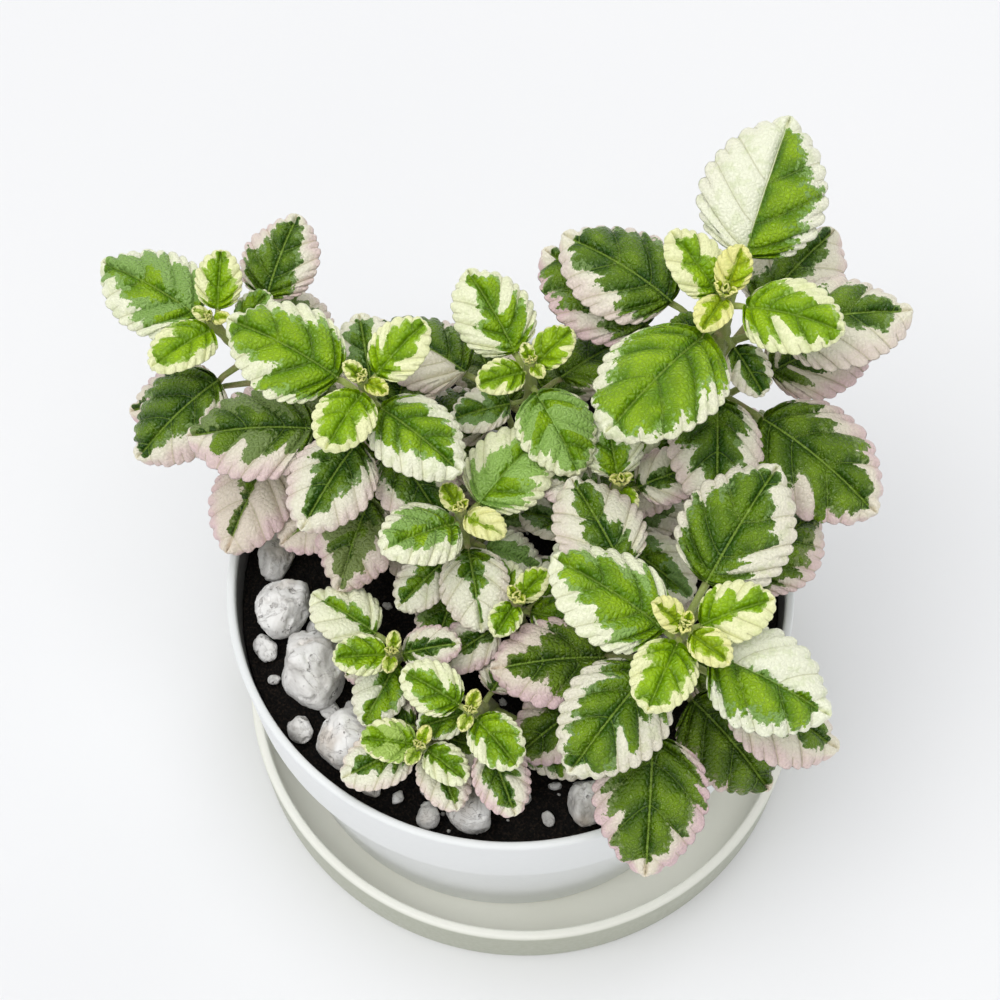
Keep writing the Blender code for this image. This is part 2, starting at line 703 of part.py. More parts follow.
def stem_mesh(name, points):
    """A square stem, thinner to its tip, as a closed mesh."""
    curve = bpy.data.curves.new(name, "CURVE")
    curve.dimensions = "3D"
    curve.bevel_depth = 1.0 * MM
    curve.bevel_resolution = 0
    curve.use_fill_caps = True
    spline = curve.splines.new("POLY")
    spline.points.add(len(points) - 1)
    for point, place, radius in zip(spline.points, points, stem_radii(points)):
        point.co = (*(place * MM), 1.0)
        point.radius = radius
    holder = bpy.data.objects.new(name, curve)
    bpy.context.scene.collection.objects.link(holder)
    bpy.context.view_layer.update()
    mesh = bpy.data.meshes.new_from_object(holder.evaluated_get(bpy.context.evaluated_depsgraph_get()))
    bpy.data.objects.remove(holder)
    bpy.data.curves.remove(curve)
    bm = bmesh.new()
    bm.from_mesh(mesh)
    bmesh.ops.remove_doubles(bm, verts=bm.verts, dist=MERGE)
    bmesh.ops.recalc_face_normals(bm, faces=bm.faces)
    bm.to_mesh(mesh)
    bm.free()
    return mesh


def sew(bm, rib, edge, left):
    """Triangles between the rib and one edge, each a list of (distance along, vertex)."""
    i = j = 0
    while i < len(rib) - 1 or j < len(edge) - 1:
        rib_first = j == len(edge) - 1 or (i < len(rib) - 1 and rib[i + 1][0] <= edge[j + 1][0])
        third = rib[i + 1][1] if rib_first else edge[j + 1][1]
        corners = (rib[i][1], third, edge[j][1])
        if len(set(corners)) == 3:
            bm.faces.new(corners if left else corners[::-1])
        if rib_first:
            i += 1
        else:
            j += 1


def leaf_sheet(leaf):
    """A leaf as an open sheet of triangles, its edge toothed."""
    bm = bmesh.new()
    rib = [(along, bm.verts.new(leaf.point(along, 0.0) * MM)) for along in leaf.rib()]
    for side in (1, -1):
        edge = [(along, bm.verts.new(leaf.point(along, side * across) * MM)) for along, across in leaf.edge()[:-1]]
        edge.append(rib[-1])
        sew(bm, rib, edge, side > 0)
    mesh = bpy.data.meshes.new("leaf")
    bm.to_mesh(mesh)
    bm.free()
    return mesh


def make_leafy_stem(name, points, leaves, group):
    """A stem with its leaves fused to it, as one closed body."""
    made = add(name, stem_mesh(name, points), group, "leaf")
    blades = collection(name + "_leaves")
    for leaf in leaves:
        blade = add("leaf", leaf_sheet(leaf), blades)
        solid = blade.modifiers.new("thickness", "SOLIDIFY")
        solid.thickness = LEAF_THICKNESS * MM
        solid.offset = 0.0
    union = made.modifiers.new("leaves", "BOOLEAN")
    union.operation = "UNION"
    union.operand_type = "COLLECTION"
    union.collection = blades
    bpy.context.view_layer.update()
    fused = bpy.data.meshes.new_from_object(made.evaluated_get(bpy.context.evaluated_depsgraph_get()))
    made.modifiers.clear()
    made.data = fused
    for blade in list(blades.objects):
        bpy.data.objects.remove(blade)
    bpy.data.collections.remove(blades)
    return made


def main():
    for old in list(bpy.data.objects):
        bpy.data.objects.remove(old)
    group = collection("potted_mintleaf")
    make_saucer(group)
    make_pot(group, collection("pot_cutters"))
    make_soil(group, collection("soil_cutters"))
    make_stones(group)
    leaves = place_leaves()
    for name, stem in STEMS.items():
        make_leafy_stem(name, stem_middle(stem), leaves[name], group)


main()
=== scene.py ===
"""The looks of a potted variegated mintleaf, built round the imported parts.

Each leafy stem gets fine leaves where its plain ones stand, with scallops, veins and cream margins. The pot,
the saucer, the soil and the stones get finer pieces of the same form. Lengths are millimetres and angles are
degrees, until they are handed to Blender in metres.
"""

import math
import random

import bmesh
import bpy
import numpy as np
from mathutils import Matrix, Vector, noise
from mathutils.kdtree import KDTree


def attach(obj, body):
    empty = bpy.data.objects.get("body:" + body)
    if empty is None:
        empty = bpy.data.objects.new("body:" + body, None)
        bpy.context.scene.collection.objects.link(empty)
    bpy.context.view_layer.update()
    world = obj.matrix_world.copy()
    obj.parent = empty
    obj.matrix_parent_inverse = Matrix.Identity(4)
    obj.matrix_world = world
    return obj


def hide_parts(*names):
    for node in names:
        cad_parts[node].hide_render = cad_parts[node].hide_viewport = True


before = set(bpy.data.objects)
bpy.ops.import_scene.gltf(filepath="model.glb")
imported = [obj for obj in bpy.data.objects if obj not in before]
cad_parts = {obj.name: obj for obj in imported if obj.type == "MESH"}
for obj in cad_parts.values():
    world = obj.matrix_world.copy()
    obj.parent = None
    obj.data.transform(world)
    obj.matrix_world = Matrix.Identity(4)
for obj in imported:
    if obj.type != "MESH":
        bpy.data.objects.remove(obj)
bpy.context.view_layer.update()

MM = 0.001
GAP = 0.3

# Saucer
SAUCER_FOOT_RADIUS = 64.0
SAUCER_RIM_RADIUS = 64.3
SAUCER_HEIGHT = 16.0
SAUCER_WALL = 2.2
SAUCER_SHIFT = (3.3, 1.0)
SAUCER_FLOOR = 2.5
SAUCER_ROUNDING = (1.8, 0.9, 0.9, 2.2)

# Pot
POT_BOTTOM = SAUCER_FLOOR + GAP
POT_TOP = 70.0
POT_RIM_RADIUS = 60.0
POT_COLLAR_FOOT_RADIUS = 59.0
POT_COLLAR_DEPTH = 21.0
POT_BODY_TOP_RADIUS = 56.6
POT_BODY_FOOT_RADIUS = 51.5
POT_WALL = 1.8
POT_FLOOR = 3.4
POT_FOOT_RING = 4.5
POT_FOOT_SLOPE = 0.6
POT_FOOT_EDGE = 1.2
POT_RECESS = 1.2
POT_SHOULDER = POT_TOP - POT_COLLAR_DEPTH
POT_SHOULDER_STEP = 1.5
POT_LEDGE = 0.4
POT_ROUNDING = (0.4, 0.4, 1.2, 0.4, 0.8, 0.8, 0.8, 0.6, 0.6, 0.8)
DRAIN_RADIUS = 3.5
DRAIN_CIRCLE = 24.0
DRAINS = 4
DRAIN_STEPS = 40
TURNED_STEPS = 192
ROUNDING_STEPS = 6

# Soil
SOIL_TOP = 61.0

# Stems
STEM_FOOT_RADIUS = 1.6
STEM_TOP_RADIUS = 1.0
STEM_DEPTH = 13.0
STEM_UPRIGHT = 4.0
STEM_STEPS = 7
STEM_EASE = 0.4

# Leaves
LEAF_THICKNESS = 0.8
WIDTH_YOUNG = 0.80
WIDTH_GROWN = 0.82
WIDEST_YOUNG = 0.47
WIDEST_GROWN = 0.41
BASE_ROUNDNESS = 0.45
GROWN_BLADE = 24.0
ARCH_YOUNG = 12.0
ARCH_GROWN = 40.0
FOLD_YOUNG = 20.0
FOLD_GROWN = -10.0
ROLL_MOST = 7.0
LEAF_SEED = 5

# How a leaf may be bent clear in the part: its rise and heading in steps, and its size
RISE_STEP = 5
RISE_MOST = 30
TURN_STEP = 7
TURN_MOST = 21
SIZES = (1.0, 0.9, 0.8)
SIZE_STEP = 0.1
TIP_REACH = 0.55
TIP_MATCH = 0.03

# Lower pairs that follow from the listed ones
LOWER_STEP = 8.0
LOWER_RISE = -8.0
LOWER_STALK = 8.0
LOWER_BLADE = 18.0
LOWEST_LEAF = SOIL_TOP + 7.0

# Each leafy stem: its foot on the soil, its tip, the lean of its top (sideways run for each unit of rise)
# and its leaf pairs from the top down. A pair has its distance below the tip and, for each of its two
# leaves, the heading (0 is +X, 90 is +Y), the rise, the length of its stalk and the length of its blade.
STEMS = {
    "leafy_stem_01": dict(foot=(36, 24), tip=(41, 32, 128), lean=(-0.17, 0.0), pairs=(
        (1.0, (65, 50, 2, 9), (-120, 8, 1, 9)),
        (3.5, (142, 35, 3, 15), (-26, 15, 5, 20)),
        (8.5, (70, 25, 13, 30), (-131, 5, 8, 30)),
        (12.5, (175, 5, 2, 9), (-58, -15, 4, 11)),
        (16.0, (144, 22, 13, 27), (-15, 8, 12, 27)),
        (22.0, (48, 25, 14, 25), (-92, -12, 9, 23)),
        (29.0, (150, 15, 18, 27), (-42, 8, 14, 30)),
        (36.0, (20, 12, 16, 24), (-130, -20, 8, 20)),
    )),
    "leafy_stem_02": dict(foot=(26, -22), tip=(32, -31, 112), lean=(0.05, -0.05), pairs=(
        (1.0, (159, 45, 1.5, 8), (-44, 8, 2, 9)),
        (3.5, (16, 25, 4, 14.5), (-114, 5, 3, 15)),
        (8.0, (150, 15, 4, 25), (-27, -5, 7, 25)),
        (13.0, (57, 20, 14, 27), (-130, -10, 7, 25)),
        (20.0, (117, 10, 18, 22), (-26, -15, 15, 25)),
        (25.0, (42, 3, 22, 24), (-94, -14, 17, 27)),
        (31.0, (-165, 8, 10, 23), (-45, -18, 12, 24)),
        (36.0, (-10, -10, 9, 18), (165, -2, 8, 17)),
        (41.0, (-143, 0, 14, 18), (75, 0, 8, 18)),
    )),
    "leafy_stem_03": dict(foot=(-24, 15), tip=(-29, 19, 118), lean=(-0.15, 0.0), pairs=(
        (1.0, (157, 50, 1, 5), (-33, 10, 1, 5)),
        (3.5, (39, 30, 4, 14), (-116, 5, 2, 14.5)),
        (8.0, (154, 15, 8, 25), (-40, -5, 3, 21)),
        (14.0, (100, 5, 8, 16), (-122, -10, 7, 21)),
        (20.0, (-178, 2, 14, 26), (-55, -12, 4, 20)),
        (27.0, (80, 0, 10, 20), (-112, -25, 9, 21)),
        (33.0, (-150, -15, 10, 18), (20, -10, 8, 18)),
    )),
    "leafy_stem_04": dict(foot=(-36, 27), tip=(-62, 41, 106), lean=(-0.55, 0.2), pairs=(
        (1.0, (170, 45, 1, 4), (-10, 30, 1, 4)),
        (3.0, (85, 35, 4, 12), (-137, 8, 2, 15)),
        (7.0, (150, 10, 8, 24), (49, 15, 4, 9)),
        (13.0, (72, 22, 13, 20), (-141, -18, 8, 24)),
        (20.0, (-172, -12, 12, 20), (20, 0, 6, 14)),
        (28.0, (95, 0, 10, 20), (-114, -12, 14, 22)),
    )),
    "leafy_stem_05": dict(foot=(3, 23), tip=(4, 28, 110), lean=(0.0, 0.1), pairs=(
        (1.0, (120, 50, 1, 4), (-60, 20, 1, 4)),
        (3.0, (35, 30, 2, 10), (-156, 10, 2, 10)),
        (7.0, (121, 20, 7, 20), (-63, -10, 3, 19)),
        (12.5, (36, 0, 8, 16), (-169, -10, 4, 13)),
        (18.0, (146, 12, 16, 24), (-75, -20, 4, 13)),
        (25.0, (60, 5, 10, 20), (170, -5, 8, 18)),
        (33.0, (110, 0, 12, 20), (-40, -15, 8, 14)),
    )),
    "leafy_stem_06": dict(foot=(-8, 2), tip=(-10, 0, 100), lean=(-0.05, 0.0), pairs=(
        (2.0, (127, 30, 1, 6), (-34, 8, 1.5, 9)),
        (6.0, (47, 15, 5, 21), (-152, 0, 3, 18)),
        (11.0, (130, 5, 6, 14), (-80, -15, 4, 17)),
        (16.0, (-10, -15, 4, 13), (-138, -15, 6, 14)),
        (22.0, (50, -8, 9, 16), (-110, -5, 7, 16)),
        (28.0, (160, 0, 8, 17), (-20, 0, 7, 16)),
        (33.0, (80, 0, 9, 16), (-100, 0, 7, 15)),
    )),
    "leafy_stem_07": dict(foot=(2, -12), tip=(1, -16, 92), lean=(0.0, -0.1), pairs=(
        (2.0, (43, 20, 1, 8), (-119, 8, 1, 8)),
        (7.0, (110, 5, 2, 10), (-14, -5, 3, 12)),
        (13.0, (35, -5, 5, 15), (-150, -12, 5, 14)),
        (19.0, (120, -8, 5, 14), (-65, -10, 5, 14)),
    )),
    "leafy_stem_08": dict(foot=(-20, -16), tip=(-24, -23, 82), lean=(-0.2, -0.1), pairs=(
        (1.0, (80, 45, 1, 4), (-100, 15, 1, 4)),
        (3.0, (-170, 15, 2, 11), (4, 15, 2, 12)),
        (8.0, (147, 10, 7, 16), (-118, -8, 3, 14)),
        (12.0, (50, 0, 5, 14), (-165, -5, 5, 13)),
    )),
    "leafy_stem_09": dict(foot=(-15, -34), tip=(-18, -43, 82), lean=(-0.15, -0.3), pairs=(
        (1.0, (60, 45, 1, 4), (-120, 15, 1, 4)),
        (3.0, (178, 15, 1.5, 11), (-40, 0, 1.5, 10)),
        (8.0, (-154, 0, 4, 15), (-68, 0, 3, 13)),
        (12.0, (165, -2, 5, 14), (-20, 0, 4, 13)),
    )),
    "leafy_stem_10": dict(foot=(-4, -29), tip=(-8, -38, 88), lean=(0.0, -0.2), pairs=(
        (1.0, (70, 45, 1, 4), (-110, 15, 1, 4)),
        (3.0, (152, 15, 3, 13), (-51, 0, 2, 12.5)),
        (8.0, (-165, -5, 2, 10), (-68, -15, 8, 14)),
        (13.0, (60, -5, 5, 15), (-75, -5, 8, 12)),
    )),
    "leafy_stem_11": dict(foot=(16, 4), tip=(22, 7, 98), lean=(0.1, 0.0), pairs=(
        (1.5, (100, 25, 2, 15), (-70, 8, 1, 6)),
        (6.0, (20, 5, 5, 15), (160, 5, 4, 16)),
        (12.0, (60, 0, 7, 17), (-120, -10, 5, 14)),
        (18.0, (-40, 0, 7, 18), (185, -5, 4, 15)),
        (24.0, (40, -5, 10, 17), (-130, -5, 8, 16)),
    )),
}

# Stones: the larger ones have a chosen middle and radius, the rest fill the free soil
STONES_CHOSEN = (
    (-48.0, -5.5, 6.8), (-41.0, -20.5, 9.0), (-33.0, -35.5, 7.6), (-50.5, 6.5, 5.0), (-43.4, -32.2, 3.0),
    (-24.5, -24.5, 5.0), (-8.0, -49.5, 5.6), (15.5, -48.0, 5.0),
)
STONES_MORE = 10
STONE_SIZES = (4.6, 7.2)
STONE_WIDTH = (0.78, 0.95)
STONE_FLATNESS = (0.75, 0.95)
STONE_BREAKS = 9
STONE_BREAK_DEPTH = (0.70, 0.90)
STONE_FOOT = 0.72
STONE_SPACE = 0.6
STONE_FIELD = 56.0
STONE_SEED = 11

# Fine stems and stalks
STEM_FINE_STEPS = 60
STEM_SIDES = 20
STEM_SQUARENESS = 0.10
STEM_AGE = 0.9
NODE_SWELLING = 0.16
NODE_LENGTH = 1.3
STALK_FROM = 0.3
STALK_RADII = (0.85, 0.62)
STALK_SIDES = 8
STALK_FLATNESS = 0.12
STALK_STEPS = 7
RIB_STEPS = 12
RIB_END = 0.88
RIB_TIP = 0.10

# Buds at a stem's tip: how far below it, the turn from the top pair, the rise and the length of the blade
BUDS = ((0.5, 90, 55, 3.4), (0.0, 0, 72, 2.2))
BUD_STALK = 0.5
BUD_FULL_SIZE = 8.0
BUD_BLADE = 4.5

# Fine leaves: the grid, with columns as shares of the way from the rib to the edge
LINES_PER_SCALLOP = 5
LINES_AT_BASE = 7
BUD_LINES = 3
COLUMNS = (0.0, 0.03, 0.08, 0.16, 0.25, 0.36, 0.48, 0.60, 0.71, 0.80, 0.87, 0.92, 0.96, 0.985, 1.0)
UNDER_STEP = 4
EDGE_SAMPLES = 800

# Fine leaves: scallops, veins as a depth and a width, and the puffed tissue
SCALLOPS_YOUNG = 6.5
SCALLOPS_GROWN = 12.5
SCALLOPS_FROM = 0.15
SCALLOP_RISE = 0.046
SCALLOP_MEAN = 0.55
SCALLOP_SHAPE = (2.4, 0.5)
SCALLOP_SIZES = (0.72, 1.28)
FORWARD_CURVE = 1.38
VEIN_LEAN = 2.8
RIB_LENGTH = 0.985
HALF_THICKNESS = 0.36
RIB_GROOVE = (0.65, 0.60)
VEIN_GROOVE = (0.62, 0.50)
FORK_GROOVE = (0.34, 0.36)
PUFF = 0.70
EDGE_PUFF = 0.48
EDGE_PUFF_FROM = 0.84
EDGE_PUFF_FULL = 0.94
CROWN = 0.06
CROWN_YOUNG = 0.02
DROOP = 0.06
WAVE = 0.022
WAVES = (1.5, 3.0)
NET_PER_MM = 1.0
LOOK_SEED = 21

# Fine stones, soil and grains
STONE_FINENESS = 5
STONE_SOFTNESS = 22.0
STONE_FULLNESS = 1.03
STONE_LUMPS = 0.06
STONE_LUMPS_SCALE = 1.6
STONE_GRIT = 0.014
STONE_GRIT_SCALE = 1.1
STONE_PITS = 0.5
STONE_PITS_SCALE = 0.45
STONE_PITS_FROM = 0.32
SOIL_RINGS = 110
SOIL_STEPS = 300
SOIL_SINK = 0.35
SOIL_CLODS = 0.55
SOIL_CLODS_SCALE = 0.22
SOIL_CRUMBS = 0.9
SOIL_CRUMBS_SCALE = 0.75
PERLITE_GRAINS = 70
PERLITE_SIZES = (0.4, 1.3)
PERLITE_SEED = 7
PERLITE_FINENESS = 3
PERLITE_WIDTH = (0.6, 1.0)
PERLITE_FLATNESS = (0.5, 0.8)
PERLITE_LUMPS = 0.35
PERLITE_GRIT = 0.15
PERLITE_RISE = 0.3
PERLITE_SPACE = 0.9
GRAVEL = (
    (-51.8, -13.6, 3.4), (-49.6, -20.6, 1.5), (-53.0, 12.5, 3.2), (-37.5, -27.6, 2.3), (-29.0, -44.6, 2.7),
    (-33.0, -26.5, 2.0), (7.5, -51.0, 1.7), (20.5, -41.5, 2.0), (25.6, -45.8, 3.0), (-41.5, -9.0, 2.2),
    (-23.0, -46.5, 1.6), (-16.8, -50.6, 3.0), (2.0, -46.2, 2.6), (-17.4, -44.9, 1.5), (30.6, -41.0, 2.2),
    (-34.0, -14.0, 2.8), (-12.5, -42.6, 2.1), (9.0, -44.0, 1.4),
)
GRAVEL_WIDTH = (0.55, 0.85)
GRAVEL_FLATNESS = (0.5, 0.8)
GRAVEL_FINENESS = 4
GRAVEL_SEED = 40

# Camera and light
LENS = 69.336
SENSOR = 36.0
CAMERA_PLACE = (-2.2, -176.5, 437.2)
CAMERA_TILT = 27.9
CAMERA_NEAREST = 0.01
TABLE_REACH = 30.0
# The lights: name, the place that each comes from in metres, strength, and the angle that it spreads over
LIGHTS = (
    ("ceiling", (-0.2, -0.2, 1.9), 1.40, 62),
    ("window", (-0.9, -0.4, 1.7), 0.48, 34),
    ("back", (1.0, 1.6, 1.4), 0.25, 24),
)
WORLD_COLOUR = (0.98, 0.985, 1.0)
WORLD_STRENGTH = (0.92, 0.46)
WORLD_SPAN = (0.0, 0.4)


def blend(low, high, share):
    return low + (high - low) * share


def spin(angle):
    """The unit vector at an angle round Z."""
    return Vector((math.cos(angle), math.sin(angle), 0.0))


# The layout, worked out as in the part

class Leaf:
    """One leaf: a stalk that leaves the stem straight, and a blade that arches over and folds on its rib."""

    def __init__(self, start, heading, rise, stalk, blade, roll, rank):
        grown = min(1.0, blade / GROWN_BLADE)
        self.start = start
        self.heading = math.radians(heading)
        self.stalk = stalk
        self.blade = blade
        self.rank = rank
        self.grown = grown
        self.length = stalk + blade
        self.half_width = blade * blend(WIDTH_YOUNG, WIDTH_GROWN, grown) / 2
        self.widest = blend(WIDEST_YOUNG, WIDEST_GROWN, grown)
        self.arch = math.radians(blend(ARCH_YOUNG, ARCH_GROWN, grown))
        self.fold = math.radians(blend(FOLD_YOUNG, FOLD_GROWN, grown))
        self.roll = math.radians(roll)
        self.first_rise = math.radians(rise) + self.arch / 2 * blade / self.length

    def points(self, along, across, lift):
        """Places on the leaf, from arrays of how far they are along its middle, to its left and off it."""
        bend = self.arch / self.blade
        straight = np.minimum(along, self.stalk)
        rise = self.first_rise - bend * np.maximum(along - self.stalk, 0.0)
        out = straight * math.cos(self.first_rise) + (math.sin(self.first_rise) - np.sin(rise)) / bend
        up = straight * math.sin(self.first_rise) + (np.cos(rise) - math.cos(self.first_rise)) / bend
        flat = np.array(spin(self.heading))
        upright = np.array((0.0, 0.0, 1.0))
        ahead = np.cos(rise)[:, None] * flat + np.sin(rise)[:, None] * upright
        level = np.array(spin(self.heading + math.pi / 2))
        turn = (self.roll * np.minimum(along / self.length * 2, 1.0))[:, None]
        left = level * np.cos(turn) + np.cross(ahead, level) * np.sin(turn)
        face = np.cross(ahead, left)
        middle = np.array(self.start) + out[:, None] * flat + up[:, None] * upright
        off = np.abs(across) * math.sin(self.fold) + lift
        return middle + left * (across * math.cos(self.fold))[:, None] + face * off[:, None]


def stem_middle(stem, steps=STEM_STEPS):
    """Points up the middle of a stem, from the bottom of its hole to its tip."""
    foot = Vector((*stem["foot"], SOIL_TOP + STEM_UPRIGHT))
    tip = Vector(stem["tip"])
    lean = Vector((*stem["lean"], 1.0)).normalized()
    reach = (tip - foot).length * STEM_EASE
    handles = (foot, foot + Vector((0, 0, reach)), tip - lean * reach, tip)
    points = [Vector((*stem["foot"], SOIL_TOP - STEM_DEPTH))]
    for step in range(steps + 1):
        t = step / steps
        weights = ((1 - t) ** 3, 3 * t * (1 - t) ** 2, 3 * t * t * (1 - t), t ** 3)
        points.append(sum((h * w for h, w in zip(handles, weights)), Vector()))
    return points


def stem_below(points, drop):
    """The place on a stem at a distance below its tip, measured along it."""
    left = drop
    for upper, lower in zip(points[::-1], points[-2::-1]):
        step = (upper - lower).length
        if left <= step:
            return upper.lerp(lower, left / step)
        left -= step
    return points[0]


def bends():
    """Small changes of rise, heading and size, the smallest first."""
    found = []
    for rise in range(-RISE_MOST, RISE_MOST + 1, RISE_STEP):
        for turn in range(-TURN_MOST, TURN_MOST + 1, TURN_STEP):
            for size in SIZES:
                change = abs(rise) / RISE_STEP + abs(turn) / TURN_STEP + round((1 - size) / SIZE_STEP)
                found.append((change, rise, turn, size))
    return [change[1:] for change in sorted(found)]


def wanted_leaves():
    """Every leaf to place, listed ones first, top down. A leaf's rank is its pair's number and its side."""
    listed, lower = [], []
    for name, stem in STEMS.items():
        points = stem_middle(stem)
        for number, (drop, *pair) in enumerate(stem["pairs"], 1):
            start = stem_below(points, drop)
            for side, (heading, rise, stalk, blade) in enumerate(pair):
                listed.append((name, start, heading, rise, stalk, blade, (number, side)))
        heading = pair[0][0] + 90
        drop += LOWER_STEP
        start = stem_below(points, drop)
        while start.z > LOWEST_LEAF:
            number += 1
            for side in (0, 1):
                opposite = heading + 180 * side
                lower.append((name, start, opposite, LOWER_RISE, LOWER_STALK, LOWER_BLADE, (number, side)))
            heading += 90
            drop += LOWER_STEP
            start = stem_below(points, drop)
    return [leaf for group in (listed, lower) for leaf in sorted(group, key=lambda leaf: -leaf[1].z)]


def corners_of(name):
    """The corners of one of the part's nodes, ready to be searched."""
    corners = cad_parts[name].data.vertices
    tree = KDTree(len(corners))
    for number, corner in enumerate(corners):
        tree.insert(corner.co, number)
    tree.balance()
    return tree


def ends_here(leaf, tree):
    """Whether the part has this leaf: its tip then lies halfway between two of the part's corners."""
    tip = Vector(leaf.points(np.array([leaf.length]), np.array([0.0]), np.array([0.0]))[0]) * MM
    near = [place for place, _, _ in tree.find_range(tip, TIP_REACH * LEAF_THICKNESS * MM)]
    return any(((a + b) / 2 - tip).length < TIP_MATCH * MM for a in near for b in near)


def place_leaves():
    """Each leaf as it was bent clear in the part. A low leaf that isn't there found no room and fell."""
    draw = random.Random(LEAF_SEED)
    trees = {name: corners_of(name) for name in STEMS}
    changes = bends()
    leaves = {name: [] for name in STEMS}
    for name, start, heading, rise, stalk, blade, rank in wanted_leaves():
        roll = draw.uniform(-ROLL_MOST, ROLL_MOST)
        for more_rise, turn, size in changes:
            leaf = Leaf(start, heading + turn, rise + more_rise, stalk * size, blade * size, roll, rank)
            if ends_here(leaf, trees[name]):
                leaves[name].append(leaf)
                break
    return leaves


def stones():
    """Middle, radius and seed of each stone: the chosen ones, then more where the soil is free."""
    draw = random.Random(STONE_SEED)
    found = [(x, y, radius, index) for index, (x, y, radius) in enumerate(STONES_CHOSEN)]
    while len(found) < len(STONES_CHOSEN) + STONES_MORE:
        radius = draw.uniform(*STONE_SIZES)
        reach = (STONE_FIELD - radius) * math.sqrt(draw.random())
        place = spin(draw.uniform(0, 2 * math.pi)) * reach
        free = all(math.dist(place[:2], (x, y)) > radius + r + STONE_SPACE for x, y, r, _ in found)
        room = radius + STEM_FOOT_RADIUS + STONE_SPACE
        if free and all(math.dist(place[:2], stem["foot"]) > room for stem in STEMS.values()):
            found.append((place.x, place.y, radius, len(found)))
    return found


# Shader graphs

class Value:
    """A node's output, which adds, subtracts and multiplies as a number does."""

    def __init__(self, graph, socket):
        self.graph = graph
        self.socket = socket

    def __add__(self, other):
        return self.graph.math("ADD", self, other)

    def __sub__(self, other):
        return self.graph.math("SUBTRACT", self, other)

    def __mul__(self, other):
        return self.graph.math("MULTIPLY", self, other)

    def __abs__(self):
        return self.graph.math("ABSOLUTE", self)


class Graph:
    """The nodes of a material or a world. An input may be a number, a colour or another node's value."""

    def __init__(self, name, dimensions="3D", owners=bpy.data.materials):
        self.dimensions = dimensions
        self.owner = owners.new(name)
        self.owner.use_nodes = True
        self.tree = self.owner.node_tree

    def feed(self, node, inputs):
        """Gives a node's inputs, named or numbered, their values."""
        for name, value in inputs.items():
            socket = node.inputs[name.replace("_", " ") if isinstance(name, str) else name]
            if isinstance(value, Value):
                self.tree.links.new(value.socket, socket)
            else:
                socket.default_value = (*value, 1.0) if isinstance(value, tuple) else value

    def add(self, kind, *values, output=0, settings=None, **named):
        """An output of a new node, with its settings and its inputs in their order or by name."""
        node = self.tree.nodes.new("ShaderNode" + kind)
        for name, setting in (settings or {}).items():
            setattr(node, name, setting)
        self.feed(node, {**dict(enumerate(values)), **named})
        return Value(self, node.outputs[output])

    def math(self, operation, *values):
        return self.add("Math", *values, settings=dict(operation=operation))

    def most(self, value, *others):
        for other in others:
            value = self.math("MAXIMUM", value, other)
        return value

    def axis(self, vector, name):
        return self.add("SeparateXYZ", vector, output=name)

    def attribute(self, name, output="Fac"):
        return self.add("Attribute", output=output, settings=dict(attribute_name=name))

    def place(self):
        return self.add("TexCoord", output="Object")

    def noise(self, vector, scale, detail=2.0, roughness=0.5, distortion=0.0):
        return self.add(
            "TexNoise", settings=dict(noise_dimensions=self.dimensions), Vector=vector, Scale=scale,
            Detail=detail, Roughness=roughness, Distortion=distortion)

    def cells(self, vector, scale, feature="F1", randomness=1.0):
        """Distances in a pattern of cells."""
        return self.add(
            "TexVoronoi", output="Distance", Vector=vector, Scale=scale, Randomness=randomness,
            settings=dict(voronoi_dimensions=self.dimensions, feature=feature))

    def span(self, value, low, high, to_low=0.0, to_high=1.0, kind="SMOOTHSTEP"):
        """A value's place between two limits, clamped."""
        return self.add("MapRange", value, low, high, to_low, to_high, settings=dict(interpolation_type=kind))

    def mix(self, share, a, b):
        return self.add("Mix", output="Result", settings=dict(data_type="RGBA"), Factor=share, A=a, B=b)

    def ramp(self, value, *stops):
        """Colours between stops, each a position and a screen colour."""
        found = self.add("ValToRGB", value)
        elements = found.socket.node.color_ramp.elements
        while len(elements) < len(stops):
            elements.new(0.5)
        for element, (position, *levels) in zip(elements, stops):
            element.position = position
            element.color = (*linear(*levels), 1.0)
        return found

    def bump(self, height, distance, strength=1.0):
        return self.add("Bump", Height=height, Distance=distance * MM, Strength=strength)

    def finish(self, node="Principled BSDF", **inputs):
        """The material or world, once the inputs of its last node are given."""
        self.feed(self.tree.nodes[node], inputs)
        return self.owner


def linear(red, green, blue):
    """A screen colour, each part 0 to 255, as linear light."""
    def part(level):
        level /= 255
        return level / 12.92 if level <= 0.04045 else ((level + 0.055) / 1.055) ** 2.4
    return part(red), part(green), part(blue)


